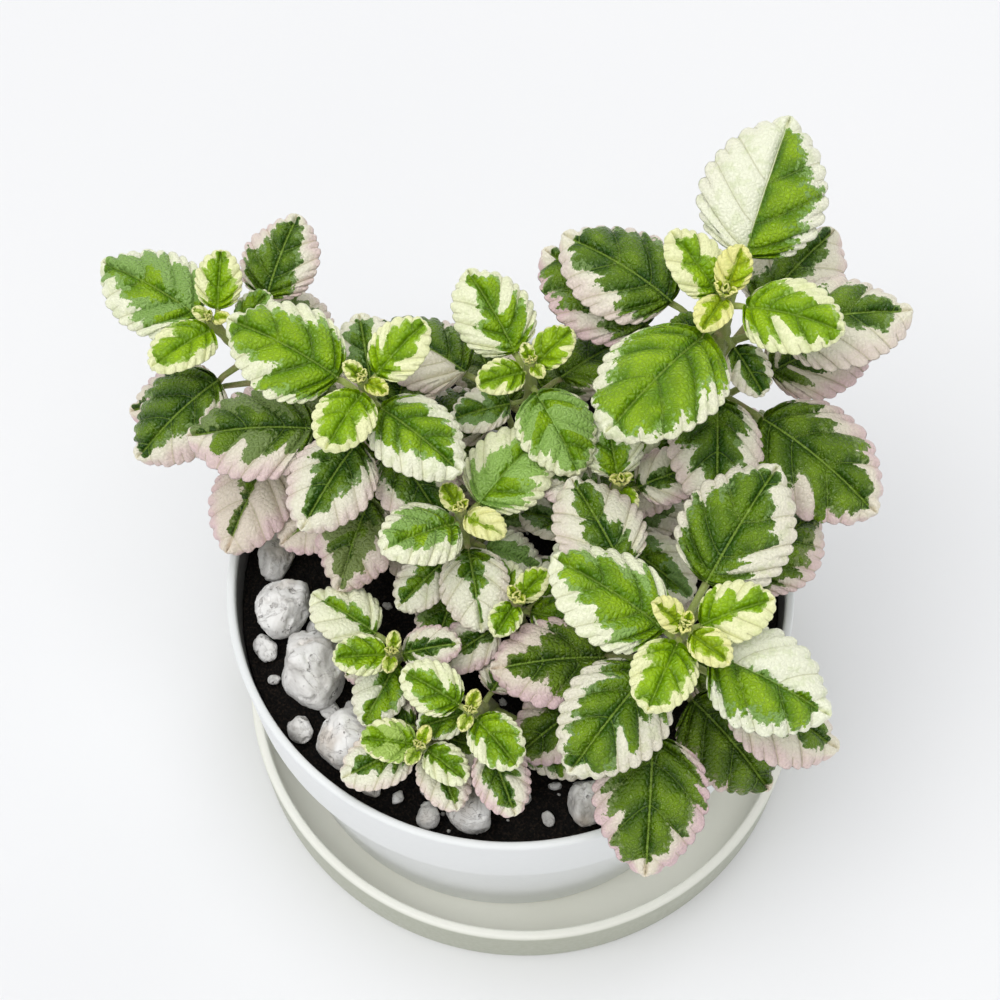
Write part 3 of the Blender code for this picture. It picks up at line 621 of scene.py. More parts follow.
def leaf_material():
    """Cream margins round a lobed green middle, sunken veins and a fine coat of short hairs, with painted
    shade next to the veins and painted highlights on the puffs and the hairs.
    """
    g = Graph("leaf", "2D")
    flat = g.attribute("flat", "Vector")
    age, pink, reach, phase, pace = map(g.attribute, ("age", "pink", "reach", "phase", "pace"))
    wavy = g.noise(flat, 0.8, 4.0, 0.6) - 0.5
    broad = g.noise(flat, 0.16)
    green = g.span(g.attribute("green") + wavy * 0.36, -0.015, 0.015)
    full = g.span(g.attribute("full") + wavy * 0.9, -0.05, 0.05)

    # Distances to the veins, in millimetres
    between = g.math("PINGPONG", phase, 1.0)
    to_rib = abs(g.axis(flat, "Y"))
    to_main = between * pace
    to_fork = g.math("PINGPONG", phase, 0.5) * pace + g.span(reach, 0.9, 0.7)
    to_net = g.cells(flat, NET_PER_MM, "DISTANCE_TO_EDGE", 0.9) * (1 / NET_PER_MM)
    rib = g.span(to_rib, 0.32, 0.12)
    main = g.span(to_main, 0.22, 0.07)
    fork = g.span(to_fork, 0.16, 0.05)
    vein = g.most(rib, main, fork) * g.span(g.attribute("share"), 0.98, 0.84)
    # Nearness to the veins, used for the painted shade next to them
    painted_shade_by_veins = g.most(
        g.span(to_main, 0.8, 0.15), g.span(to_rib, 0.7, 0.25), g.span(to_fork, 0.5, 0.1, 0.0, 0.7))
    net = g.span(to_net, 0.11, 0.02)

    # Greens: painted shade next to the veins and along the net's creases, darker in broad patches, lighter
    # tissue with a painted highlight in other patches, and a painted highlight on the puffed tissue between
    # the veins
    black = (0.0, 0.0, 0.0)
    deep = g.ramp(
        age, (0.0, 176, 198, 24), (0.2, 122, 168, 2), (0.45, 86, 134, 2), (0.7, 40, 84, 2), (1.0, 52, 84, 4))
    soft = g.ramp(age, (0.0, 204, 216, 96), (0.3, 158, 198, 96), (0.6, 124, 160, 88), (1.0, 124, 138, 76))
    # Painted shade: the greens darken next to the veins, as if their grooves were in shade
    leafy = g.mix(painted_shade_by_veins * g.span(age, 0.0, 0.6, 0.35, 0.7), deep, g.mix(0.5, deep, black))
    leafy = g.mix(g.span(broad, 0.45, 0.25, 0.0, 0.45), leafy, g.mix(0.5, leafy, linear(20, 60, 4)))
    # Lighter tissue and painted highlight: broad patches lightened towards yellow-green, less on old leaves
    lighter_tissue_and_highlight = g.span(broad, 0.45, 0.7) * g.span(age, 0.4, 0.75, 0.95, 0.4)
    leafy = g.mix(lighter_tissue_and_highlight, leafy, g.mix(0.55, leafy, linear(164, 206, 4)))
    # Painted highlight: the puffed tissue is lightened midway between the veins, away from the rib
    painted_crest_highlight = between * g.span(to_rib, 0.4, 2.0) * g.span(age, 0.45, 0.75, 0.52, 0.25)
    leafy = g.mix(painted_crest_highlight, leafy, linear(180, 220, 8))
    leafy = g.mix(rib * g.span(age, 0.0, 0.7, 0.35, 0.75), leafy, linear(150, 184, 70))
    leafy = g.mix(main * g.span(age, 0.0, 0.7, 0.25, 0.55), leafy, linear(124, 160, 44))
    # Painted shade: the greens darken along the lines of the quilted net, in its creases
    leafy = g.mix(g.span(to_net, 0.26, 0.02, 0.0, 0.28), leafy, g.mix(0.6, leafy, black))
    leafy = g.mix(full, soft, leafy)

    # Creams: rosy towards the edge of an old leaf, tinted green in patches of a young one
    pale = g.ramp(
        age, (0.0, 244, 240, 150), (0.25, 246, 249, 200), (0.5, 248, 250, 224), (1.0, 232, 219, 202))
    rosy = pink * g.span(reach + (broad - 0.5) * 0.5, 0.62, 0.98)
    pale = g.mix(rosy, pale, linear(228, 198, 200))
    tint = g.span(g.noise(flat, 0.42, 3.0), 0.5, 0.68, 0.0, 0.4) * g.span(pink, 0.6, 0.1)
    pale = g.mix(tint, pale, g.mix(0.5, pale, linear(170, 196, 90)))
    pale = g.mix(g.most(vein * 0.38, net * 0.14), pale, linear(176, 176, 112))

    colour = g.mix(green, pale, leafy)
    colour = g.mix(g.attribute("under"), colour, g.mix(0.5, colour, linear(168, 178, 140)))

    # Relief: a quilted net and a fine coat of hairs, whose pale sparkles are painted highlights
    hair = g.span(g.noise(flat, 4.2, 1.0), 0.60, 0.72)
    quilt = g.span(age, 0.0, 0.6, 0.14, 0.27) * g.span(g.attribute("green"), -0.1, 0.1, 0.4, 1.0)
    height = g.span(to_net, 0.0, 0.40) * quilt + hair * 0.06 - vein * 0.08
    # Painted highlight: pale sparkles on the hairs of the green parts
    painted_hair_glint = hair * green * g.span(broad, 0.4, 0.6, 0.1, 0.42) * g.span(age, 0.1, 0.6)
    colour = g.mix(painted_hair_glint, colour, linear(190, 210, 120))
    return g.finish(Base_Color=colour, Roughness=0.28, Normal=g.bump(height, 1.0), Specular_IOR_Level=0.36)


def stalk_material():
    """Pale green leaf stalks and square stems, rosy in places, with fine pale hairs."""
    g = Graph("stalk")
    fine = g.noise(g.place(), 2600.0)
    rosy = g.span(g.noise(g.place(), 260.0, 3.0), 0.5, 0.75, 0.0, 0.5)
    colour = g.ramp(g.attribute("age"), (0.0, 178, 194, 92), (0.5, 152, 168, 82), (1.0, 132, 142, 72))
    colour = g.mix(rosy, colour, linear(190, 150, 136))
    colour = g.mix(g.span(fine, 0.5, 0.8, 0.0, 0.3), colour, linear(216, 214, 186))
    return g.finish(
        Base_Color=colour, Roughness=0.55, Normal=g.bump(fine, 0.12, 0.8), Sheen_Weight=0.15,
        Sheen_Roughness=0.5)


def plastic_material(name, colour, shade, other, share_of):
    """Satin moulded plastic with faint scuffs, and another tone where a given function asks for it."""
    g = Graph(name)
    place = g.place()
    x, y, height = (g.axis(place, axis) for axis in "XYZ")
    cloud = g.noise(place, 18.0)
    speck = g.noise(place, 900.0)
    tone = g.mix(g.span(cloud, 0.4, 0.7, 0.0, 0.6), colour, shade)
    tone = g.mix(g.span(speck, 0.66, 0.74, 0.0, 0.15), tone, shade)
    # The other tone: painted shade on the saucer's outer wall, and a darker inner wall on the pot
    tone = g.mix(share_of(g, g.math("SQRT", x * x + y * y), height, cloud), tone, other)
    return g.finish(
        Base_Color=tone, Roughness=g.span(speck, 0.3, 0.7, 0.30, 0.42), Normal=g.bump(speck, 0.02, 0.4),
        Specular_IOR_Level=0.5)


def saucer_wall_painted_shade(g, radius, height, _):
    """1 on the saucer's outer wall, which is given a darker tone as painted shade."""
    return g.span(radius, 0.0628, 0.0638) * g.span(height, 0.0160, 0.0145)


def pot_inside(g, radius, height, cloud):
    """Darker on the pot's inner wall below its rim, with a cloudy upper edge."""
    edge = g.span(height + cloud * 0.003, 0.0706, 0.0690, 0.0, 0.85)
    return edge * g.span(height, 0.050, 0.052) * g.span(radius, 0.0589, 0.0586)


def soil_material():
    """Nearly black peat with lighter fibres and crumbs."""
    g = Graph("soil")
    crumb = g.cells(g.place(), 900.0)
    fine = g.noise(g.place(), 1800.0, 4.0)
    colour = g.mix(g.span(fine, 0.45, 0.75), linear(10, 9, 8), linear(52, 42, 34))
    colour = g.mix(g.span(crumb, 0.1, 0.6, 0.5, 0.0), colour, linear(20, 17, 15))
    return g.finish(
        Base_Color=colour, Roughness=0.9, Normal=g.bump(crumb * 0.6 + fine * 0.5, 0.7),
        Specular_IOR_Level=0.25)


def perlite_material():
    """White puffed grains."""
    g = Graph("perlite")
    fine = g.noise(g.place(), 1600.0, 3.0)
    colour = g.mix(g.span(fine, 0.4, 0.7), linear(206, 203, 196), linear(240, 239, 235))
    return g.finish(Base_Color=colour, Roughness=0.85, Normal=g.bump(fine, 0.3))


def stone_material():
    """White broken marble with soft grey clouds, warm stains, brown cracks and a few pits."""
    g = Graph("stone")
    place = g.place()
    cloud = g.noise(place, 130.0, 4.0, 0.6, 0.6)
    fine = g.noise(place, 900.0, 4.0, 0.65)
    crack = abs(g.noise(place, 150.0, 4.0, 0.65, 1.2) - 0.5)
    pitted = g.span(g.noise(place, 480.0, 2.0, 0.6), 0.62, 0.70) * g.span(cloud, 0.4, 0.55)
    colour = g.ramp(
        cloud, (0.3, 176, 173, 168), (0.44, 230, 228, 224), (0.56, 247, 246, 243), (0.8, 252, 251, 249))
    colour = g.mix(g.span(g.noise(place, 70.0, 3.0), 0.52, 0.70, 0.0, 0.6), colour, linear(206, 192, 176))
    colour = g.mix(pitted * 0.45, colour, linear(128, 118, 110))
    colour = g.mix(g.span(crack, 0.010, 0.0, 0.0, 0.26), colour, linear(132, 114, 100))
    height = fine * 0.4 - pitted - g.span(crack, 0.014, 0.0, 0.0, 0.16)
    return g.finish(Base_Color=colour, Roughness=0.75, Normal=g.bump(height, 0.5))


def floor_material():
    """A plain pale table top."""
    g = Graph("table_top")
    cloud = g.noise(g.place(), 3.0)
    colour = g.mix(g.span(cloud, 0.3, 0.7), (0.85, 0.855, 0.865), (0.87, 0.873, 0.88))
    return g.finish(Base_Color=colour, Roughness=0.55, Specular_IOR_Level=0.3)


# Meshes and objects

class Builder:
    """Gathers many small forms into one mesh, with values at its corners for the material."""

    VALUES = ("green", "full", "reach", "phase", "pace", "share", "age", "pink", "under")

    def __init__(self):
        self.corners = []
        self.faces = []
        self.slots = []
        self.values = []
        self.flat = []
        self.count = 0

    def add(self, corners, faces, slot, flat=0.0, **values):
        """Corners as an (n, 3) array in millimetres, faces as lists of corner numbers."""
        number = len(corners)
        self.corners.append(corners)
        self.faces += [[i + self.count for i in face] for face in faces]
        self.slots += [slot] * len(faces)
        self.flat.append(np.broadcast_to(flat, (number, 3)))
        self.values.append([np.broadcast_to(values.get(name, 0.0), number) for name in self.VALUES])
        self.count += number

    def mesh(self, name):
        mesh = bpy.data.meshes.new(name)
        mesh.from_pydata(np.concatenate(self.corners) * MM, [], self.faces)
        for value, row in zip(self.VALUES, np.concatenate(self.values, axis=1)):
            layer = mesh.attributes.new(value, "FLOAT", "POINT")
            layer.data.foreach_set("value", row.astype(np.float32))
        layer = mesh.attributes.new("flat", "FLOAT_VECTOR", "POINT")
        layer.data.foreach_set("vector", np.concatenate(self.flat).astype(np.float32).ravel())
        mesh.polygons.foreach_set("material_index", self.slots)
        mesh.polygons.foreach_set("use_smooth", [True] * len(mesh.polygons))
        mesh.update()
        return mesh


def mesh_of(bm, name, smooth=True):
    """The mesh of a bmesh, which is then freed."""
    mesh = bpy.data.meshes.new(name)
    bm.to_mesh(mesh)
    bm.free()
    mesh.polygons.foreach_set("use_smooth", [smooth] * len(mesh.polygons))
    return mesh


def show(name, data):
    """A new object in the scene."""
    made = bpy.data.objects.new(name, data)
    bpy.context.scene.collection.objects.link(made)
    return made


def dress(name, mesh, materials, node=None, shift=(0.0, 0.0)):
    """A fine piece, which stands in the place of a node if one is given."""
    for material in materials:
        mesh.materials.append(material)
    made = show(name, mesh)
    made.location = (shift[0] * MM, shift[1] * MM, 0)
    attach(made, "root")
    if node:
        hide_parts(node)


def quads(numbers):
    """The faces between the corners of a grid, whose numbers are given."""
    around = (numbers[:-1, :-1], numbers[1:, :-1], numbers[1:, 1:], numbers[:-1, 1:])
    return np.stack(around, axis=-1).reshape(-1, 4)


def smooth_step(value, low, high):
    share = np.clip((value - low) / (high - low), 0.0, 1.0)
    return share * share * (3 - 2 * share)


def unit(rows):
    """Rows of vectors brought to length 1."""
    return rows / np.linalg.norm(rows, axis=1)[:, None]


def turns(count):
    """Even angles once round."""
    return np.arange(count) / count * 2 * math.pi


# Fine leaves

class Look:
    """One leaf's colours: how far the green reaches on its left and right, and how old and rosy it is."""

    def __init__(self, left, right, age, pink, tip=0.0, patch=0.1, ragged=1.0):
        self.sides = (left, right)
        self.age = age
        self.pink = pink
        self.tip = tip
        self.patch = patch
        self.ragged = ragged


class Form:
    """The fine shape of one leaf's left half, in the leaf's own flat coordinates, shared by both halves."""

    def __init__(self, leaf, draw):
        bud = leaf.blade < BUD_BLADE
        self.leaf = leaf
        self.scallops = round(blend(SCALLOPS_YOUNG, SCALLOPS_GROWN, leaf.grown)) - 0.5
        count = int(self.scallops) + 2
        self.sizes = [
            draw.uniform(*SCALLOP_SIZES) * (0.7 + 0.5 * math.sin(math.pi * (i + 0.5) / count))
            for i in range(count)]
        lines = round(self.scallops * (BUD_LINES if bud else LINES_PER_SCALLOP))
        phase = np.linspace(0, self.scallops, lines + 1)
        share = np.interp(phase, np.arange(count + 1), [0, *np.cumsum(self.sizes)])
        first = np.linspace(0.02, SCALLOPS_FROM, LINES_AT_BASE, endpoint=False)
        self.t = np.concatenate([first, SCALLOPS_FROM + (1 - SCALLOPS_FROM) * share / share[-1]])
        self.phase = np.concatenate([(first / SCALLOPS_FROM - 1) * 1.5, phase])
        self.k = np.array(COLUMNS[::2] if bud else COLUMNS)
        self.lay_out()
        self.raise_relief(draw)

    def lay_out(self):
        """The places of the grid: each row runs from the rib out to the edge, curving forward like a vein."""
        leaf = self.leaf
        share = (1 - np.cos(np.linspace(0, math.pi, EDGE_SAMPLES))) / 2
        near = BASE_ROUNDNESS
        far = near * (1 - leaf.widest) / leaf.widest
        along = leaf.blade * share
        across = leaf.half_width * (share / leaf.widest) ** near * ((1 - share) / (1 - leaf.widest)) ** far
        walked = np.concatenate([[0], np.cumsum(np.hypot(np.diff(along), np.diff(across)))])
        walked /= walked[-1]
        edge_along = np.interp(self.t, walked, along)
        edge_across = np.interp(self.t, walked, across)
        ahead, outward = np.gradient(edge_along, self.t), np.gradient(edge_across, self.t)
        size = np.hypot(ahead, outward)
        single = np.clip(np.floor(self.phase).astype(int), 0, len(self.sizes) - 1)
        flat, round_off = SCALLOP_SHAPE
        bulge = np.clip(1 - np.abs(2 * (self.phase % 1.0) - 1) ** flat, 0, 1) ** round_off
        rise = SCALLOP_RISE * leaf.blade * (bulge - SCALLOP_MEAN) * np.take(self.sizes, single)
        rise *= smooth_step(self.t, SCALLOPS_FROM * 0.3, SCALLOPS_FROM * 1.6)
        rib = leaf.blade * RIB_LENGTH * (edge_along / leaf.blade) ** VEIN_LEAN
        edge_along = edge_along - rise * outward / size
        edge_across = edge_across + rise * ahead / size
        edge_across[-1] = 0.0
        self.along = leaf.stalk + rib[:, None] + (edge_along - rib)[:, None] * self.k ** FORWARD_CURVE
        self.across = edge_across[:, None] * self.k
        step = np.hypot(np.gradient(self.along, axis=0), np.gradient(self.across, axis=0))
        self.pace = step / np.gradient(self.phase)[:, None]

    def raise_relief(self, draw):
        """How far the blade's middle stands off the plain one: sunken veins with puffed tissue between."""
        grown, half_width = self.leaf.grown, self.leaf.half_width
        size = blend(0.4, 1.0, grown)
        phase = self.phase[:, None]
        k = self.k[None, :]
        to_main = np.abs(phase / 2 - np.round(phase / 2)) * 2 * self.pace
        to_fork = np.abs(phase - np.round(phase)) * self.pace

        def groove(distance, shape):
            depth, width = shape
            return depth * np.exp(-((distance / (width * size)) ** 2))

        def bulge(place):
            """0 on the lines and 1 halfway between them."""
            return 1 - np.abs(2 * (place % 1.0) - 1) ** 2

        rib = groove(self.across, RIB_GROOVE)
        main = groove(to_main, VEIN_GROOVE) * smooth_step(k, 0.0, 0.12)
        fork = groove(to_fork, FORK_GROOVE) * smooth_step(k, EDGE_PUFF_FROM - 0.1, EDGE_PUFF_FULL)
        veins = np.maximum(np.maximum(rib, main), fork)
        puff = PUFF * bulge(phase / 2) * smooth_step(k, 0.0, 0.25) * (1 - smooth_step(k, 0.75, 1.0))
        edge = smooth_step(k, EDGE_PUFF_FROM, EDGE_PUFF_FULL) * (1 - k ** 8)
        puff = puff + EDGE_PUFF * bulge(phase) * edge
        crown = blend(CROWN_YOUNG, CROWN, grown) * half_width * np.sin(math.pi * k)
        droop = blend(0.0, DROOP, grown) * half_width * k ** 4
        waves, start = draw.uniform(*WAVES), draw.uniform(0, 2 * math.pi)
        wave = WAVE * half_width * k ** 2 * np.sin(2 * math.pi * waves * self.t[:, None] + start)
        self.lift = (puff - veins) * size + crown - droop + wave
        self.half = HALF_THICKNESS * blend(0.6, 1.0, grown) * np.sqrt(1 - k ** 6)


def green_reach(form, look, side, draw):
    """How far out the green goes, and how far out the full green goes, at each place of one half."""
    cells = int(form.scallops) + 8
    k = form.k[None, :]
    phase = form.phase[:, None] + 0.15 * (k - 0.5)
    main = (np.floor(phase / 2) + 3).astype(int)
    single = (np.floor(phase) + 4).astype(int)

    def drawn(low, high):
        """A number for each scallop."""
        return np.array([draw.uniform(low, high) for _ in range(cells)])

    def cut(chance, low, high):
        """The same, or 0 where a chance of it fails."""
        return np.array([draw.uniform(low, high) if draw.random() < chance else 0.0 for _ in range(cells)])

    cover = look.sides[side] + look.tip * smooth_step(form.t, 0.5, 0.95)[:, None]
    cover = cover + 0.10 * (1 - smooth_step(form.t, 0.0, 0.3))[:, None]
    cover = cover - 1.2 * smooth_step(form.t, draw.uniform(0.82, 0.95), 1.0)[:, None]
    within = phase % 1.0 - 0.5
    steps = drawn(-0.10, 0.10)[main] + drawn(-0.09, 0.09)[single]
    slopes = drawn(-0.22, 0.22)[single] * within
    lobes = drawn(0.0, 0.35)[single] * within ** 2
    deep = (cut(0.12, 0.15, 0.5)[single] - cut(0.10, 0.08, 0.2)[single]) * (1 - 3.2 * within ** 2)
    green = cover + look.ragged * (steps + slopes - lobes - deep)
    full = green - look.patch * (drawn(0.0, 1.4)[single] + drawn(-0.3, 0.3)[single] * within)
    return green - k, full - k


def add_blade(builder, leaf, look, draw):
    """One blade: an upper and a lower sheet that meet at the scalloped edge."""
    form = Form(leaf, draw)
    rows, columns = form.along.shape
    seed = draw.uniform(0, 5000)
    green, full = zip(*[green_reach(form, look, side, draw) for side in (0, 1)])

    def both(*halves):
        """The left and the right half side by side, which are alike if only one is given."""
        left, right = (np.broadcast_to(half, form.along.shape) for half in (halves * 2)[:2])
        return np.concatenate([right[:, :0:-1], left], axis=1)

    along, across = both(form.along), both(form.across, -form.across)
    lift, half = both(form.lift), both(form.half)
    wide = along.shape[1]
    outer = np.append(np.arange(0, columns - 1, UNDER_STEP), columns - 1)
    inner = np.unique(np.concatenate([columns - 1 - outer, columns - 1 + outer]))[1:-1]

    def sheets(upper, lower=None):
        """A grid's values on the upper sheet, then on the coarser lower one, which shares its edges."""
        return np.concatenate([upper.ravel(), (upper if lower is None else lower)[:, inner].ravel()])

    corners = leaf.points(sheets(along), sheets(across), sheets(lift + half, lift - half))
    flat = np.stack([sheets(along) + seed, sheets(across), np.zeros(len(corners))], axis=1)
    grids = dict(
        green=both(*green), full=both(*full), reach=both(form.k), phase=both(form.phase[:, None]),
        pace=both(form.pace), share=both(form.t[:, None]))
    numbers = np.arange(rows * wide).reshape(rows, wide)
    below = np.arange(rows * wide, len(corners)).reshape(rows, -1)
    lower = np.concatenate([numbers[:, :1], below, numbers[:, -1:]], axis=1)
    first, last = (numbers[row].tolist() + below[row, ::-1].tolist() for row in (0, -1))
    faces = quads(numbers).tolist() + quads(lower)[:, ::-1].tolist() + [first, last[::-1]]
    builder.add(
        corners, faces, 0, flat, age=look.age, pink=look.pink, under=np.arange(len(corners)) >= rows * wide,
        **{name: sheets(grid) for name, grid in grids.items()})


def add_tube(builder, path, side, radius, shape, age):
    """A closed tube along a path, given its sideways axis and radius at each ring and its shape round it."""
    count = len(shape)
    up = unit(np.cross(np.gradient(path, axis=0), side))
    turn = turns(count)[None, :, None]
    ring = np.cos(turn) * side[:, None, :] + np.sin(turn) * up[:, None, :]
    corners = (path[:, None, :] + ring * (radius[:, None] * shape[None, :])[:, :, None]).reshape(-1, 3)
    numbers = np.arange(len(corners)).reshape(-1, count)
    closed = np.concatenate([numbers, numbers[:, :1]], axis=1)
    faces = quads(closed)[:, (0, 3, 2, 1)].tolist() + [numbers[0, ::-1].tolist(), numbers[-1].tolist()]
    builder.add(corners, faces, 1, age=age)


def add_stalk(builder, leaf, age):
    """The leaf's stalk, which runs on below the blade as its raised rib."""
    size = blend(0.55, 1.0, leaf.grown)
    first, second = STALK_RADII
    along = np.concatenate([
        np.linspace(STALK_FROM, leaf.stalk, STALK_STEPS),
        np.linspace(leaf.stalk, leaf.stalk + RIB_END * leaf.blade, RIB_STEPS)[1:],
    ])
    past = np.clip((along - leaf.stalk) / leaf.blade, 0, 1)
    radius = size * np.where(
        along < leaf.stalk, blend(first, second, along / leaf.stalk), second * (1 - past) + RIB_TIP)
    below = (RIB_GROOVE[0] + HALF_THICKNESS) * blend(0.4, 1.0, leaf.grown) + 0.3 * size
    sink = -smooth_step(along, leaf.stalk - 1.2, leaf.stalk + 0.8) * below
    path, left, right = (leaf.points(along, np.full_like(along, off), sink) for off in (0.0, 0.01, -0.01))
    shape = 1 + STALK_FLATNESS * np.cos(2 * turns(STALK_SIDES))
    add_tube(builder, path, unit(left - right), radius, shape, age)


def add_stem(builder, stem, nodes):
    """The square stem: rounded corners, a slight swelling where each pair grows, and a blunt tip."""
    path = np.array([tuple(point) for point in stem_middle(stem, STEM_FINE_STEPS)])
    height = path[:, 2]
    share = np.clip((height - height[1]) / (height[-1] - height[1]), 0, 1)
    radius = blend(STEM_FOOT_RADIUS, STEM_TOP_RADIUS, share)
    for node in nodes:
        away = np.linalg.norm(path - np.array(node), axis=1)
        radius = radius * (1 + NODE_SWELLING * np.exp(-((away / NODE_LENGTH) ** 2)))
    side = unit(np.cross(np.array((0.0, 1.0, 0.0)), unit(np.gradient(path, axis=0))))
    shape = 1 - STEM_SQUARENESS + STEM_SQUARENESS * np.cos(4 * turns(STEM_SIDES))
    add_tube(builder, path, side, radius, shape, STEM_AGE)


def bud_leaves(points, stem):
    """The two tiny pairs still folded together at a stem's tip."""
    heading, _, _, blade = stem["pairs"][0][1]
    size = min(1.0, blade / BUD_FULL_SIZE)
    return [
        Leaf(stem_below(points, drop), heading + turn + side, rise, BUD_STALK, length * size, 0.0, (0, 0))
        for drop, turn, rise, length in BUDS for side in (0, 180)]


# How single leaves are coloured: for each pair from the top down, the look of its two leaves. A leaf without
# one is coloured by its age.
LOOKS = {
    "leafy_stem_01": {
        1: (Look(0.2, 0.8, 0.02, 0), Look(0.6, 0.6, 0.05, 0)),
        2: (Look(0.7, 0.62, 0.2, 0, tip=-0.25), Look(0.78, 0.74, 0.24, 0)),
        3: (Look(-0.05, 0.84, 0.5, 0.1, tip=-0.1), Look(0.84, 0.88, 0.42, 0.1, ragged=0.7)),
        4: (Look(0.9, 0.9, 0.7, 0.2), Look(0.8, 0.7, 0.7, 0.2)),
        5: (Look(0.72, 0.8, 0.72, 0.5, ragged=0.9), Look(0.72, 0.64, 0.75, 0.4, tip=-0.1)),
        6: (Look(0.45, 0.35, 0.75, 0.6), Look(0.6, 0.72, 0.7, 0.6, tip=-0.15)),
        7: (Look(0.76, 0.74, 0.78, 1, ragged=1.3), Look(0.74, 0.86, 0.85, 0.8)),
        8: (Look(0.4, 0.5, 0.9, 0.9), Look(0.35, 0.45, 0.9, 0.8)),
    },
    "leafy_stem_02": {
        1: (Look(0.62, 0.62, 0.06, 0), Look(0.7, 0.68, 0.1, 0)),
        2: (Look(0.84, 0.38, 0.2, 0), Look(0.76, 0.78, 0.2, 0)),
        3: (Look(0.8, 0.84, 0.42, 0, tip=-0.1, patch=0.25), Look(0.1, 0.78, 0.5, 0)),
        4: (Look(0.84, 0.7, 0.68, 0.15), Look(0.8, 0.76, 0.66, 0.15, ragged=1.3)),
        5: (Look(0.42, 0.45, 0.7, 0.4), Look(0.5, 0.6, 0.78, 0.7)),
        6: (Look(0.85, 0.8, 0.95, 0.7), Look(0.8, 0.84, 0.88, 1)),
        7: (Look(0.76, 0.74, 1, 1, tip=-0.25, ragged=0.6), Look(0.95, 0.95, 1, 0.6)),
        8: (None, Look(0.75, 0.7, 1, 0.9, ragged=0.6)), 9: (Look(0.78, 0.78, 1, 0.9, ragged=0.6), None),
    },
    "leafy_stem_03": {
        2: (Look(0.72, 0.62, 0.22, 0), Look(0.72, 0.74, 0.2, 0)),
        3: (Look(0.84, 0.78, 0.38, 0, ragged=0.6), Look(0.76, 0.74, 0.46, 0.1, tip=-0.35)),
        4: (None, Look(0.64, 0.68, 0.7, 0.6, tip=-0.2)),
        5: (Look(0.68, 0.86, 0.85, 0.8, patch=0.5), Look(0.55, 0.7, 0.72, 0.6)),
        6: (None, Look(0.62, 0.64, 0.95, 0.9, patch=0.6)), 7: (Look(0.1, 0.2, 1, 1), None),
    },
    "leafy_stem_04": {
        2: (Look(0.6, 0.76, 0.2, 0), Look(0.76, 0.78, 0.22, 0)),
        3: (Look(0.74, 0.84, 0.45, 0, patch=0.6), None),
        4: (Look(0.74, 0.7, 0.72, 0.7, tip=-0.15), Look(0.55, 0.9, 0.75, 0.7)),
        5: (Look(0.3, 0.5, 0.9, 1), None), 6: (None, Look(0.08, 0.22, 1, 0.9)),
    },
    "leafy_stem_05": {
        2: (Look(0.92, 0.9, 0.16, 0), Look(0.84, 0.8, 0.18, 0)),
        3: (Look(0.5, 0.62, 0.36, 0, ragged=1.6), Look(0.9, 0.86, 0.36, 0, patch=1.2)),
        4: (Look(0.98, 0.96, 0.85, 0.2), Look(0.72, 0.62, 0.6, 0.3, patch=0.5)),
        5: (Look(0.05, 0.96, 0.8, 0.6), Look(0.4, 0.5, 0.6, 0.4)),
    },
    "leafy_stem_06": {
        1: (Look(0.8, 0.8, 0.1, 0), Look(0.08, 0.36, 0.1, 0)),
        2: (Look(0.62, 0.76, 0.32, 0, patch=1), Look(0.6, 0.76, 0.42, 0.1, patch=0.5)),
        3: (None, Look(0.42, 0.42, 0.62, 0.35, tip=-0.4, ragged=1.4)),
        4: (Look(0.6, 0.5, 0.5, 0.3, patch=1.2), Look(0.35, 0.45, 0.6, 0.3)),
    },
    "leafy_stem_07": {
        1: (Look(0.7, 0.7, 0.18, 0), Look(0.84, 0.7, 0.24, 0)),
        2: (Look(0.8, 0.6, 0.35, 0), Look(0.9, 0.84, 0.55, 0.1)), 3: (None, Look(0.35, 0.5, 0.75, 0.9)),
    },
    "leafy_stem_08": {
        2: (Look(0.66, 0.76, 0.26, 0), Look(0.34, 0.56, 0.72, 0.9)),
        3: (Look(0.25, 0.3, 0.42, 0.1), Look(0.8, 0.4, 0.5, 0.2)),
        4: (Look(0.5, 0.4, 0.6, 0.6), Look(0.1, 0.3, 0.85, 0.9)),
    },
    "leafy_stem_09": {
        2: (Look(0.92, 0.88, 0.22, 0, patch=0.6), Look(0.62, 0.48, 0.36, 0)),
        3: (Look(0.36, 0.36, 0.6, 0.5, ragged=1.5), Look(0.4, 0.5, 0.7, 0.6)),
        4: (Look(0.3, 0.6, 0.8, 1), Look(0.5, 0.6, 0.7, 0.6)),
    },
    "leafy_stem_10": {
        2: (Look(0.76, 0.58, 0.32, 0), Look(0.82, 0.76, 0.36, 0)),
        3: (Look(0.86, 0.7, 0.5, 0.1), Look(0.45, 0.6, 0.7, 0.9)),
        4: (Look(0.35, 0.3, 0.75, 0.9), Look(0.6, 0.55, 0.85, 0.9)),
    },
    "leafy_stem_11": {
        1: (Look(0.45, 0.4, 0.45, 0.1, tip=-0.1), Look(0.8, 0.8, 0.15, 0)),
        2: (Look(0.35, 0.5, 0.75, 0.9), Look(0.4, 0.3, 0.7, 0.8)),
    },
}

# How the other leaves are coloured: their ages from the buds and the youngest pair to the oldest
AGES = (0.0, 0.08, 0.25, 0.45, 0.62, 0.75, 0.85, 0.95, 1.0)
AGE_SPREAD = 0.06
COVER = (0.60, 0.84)
COVER_OLD = (0.58, 0.92)
OLD_FROM = 4
PINK = (0.3, 1.2)
PINK_FROM = 0.35
TIPS = (-0.2, 0.05)
PATCHES = (0.05, 0.1, 0.35, 0.6)


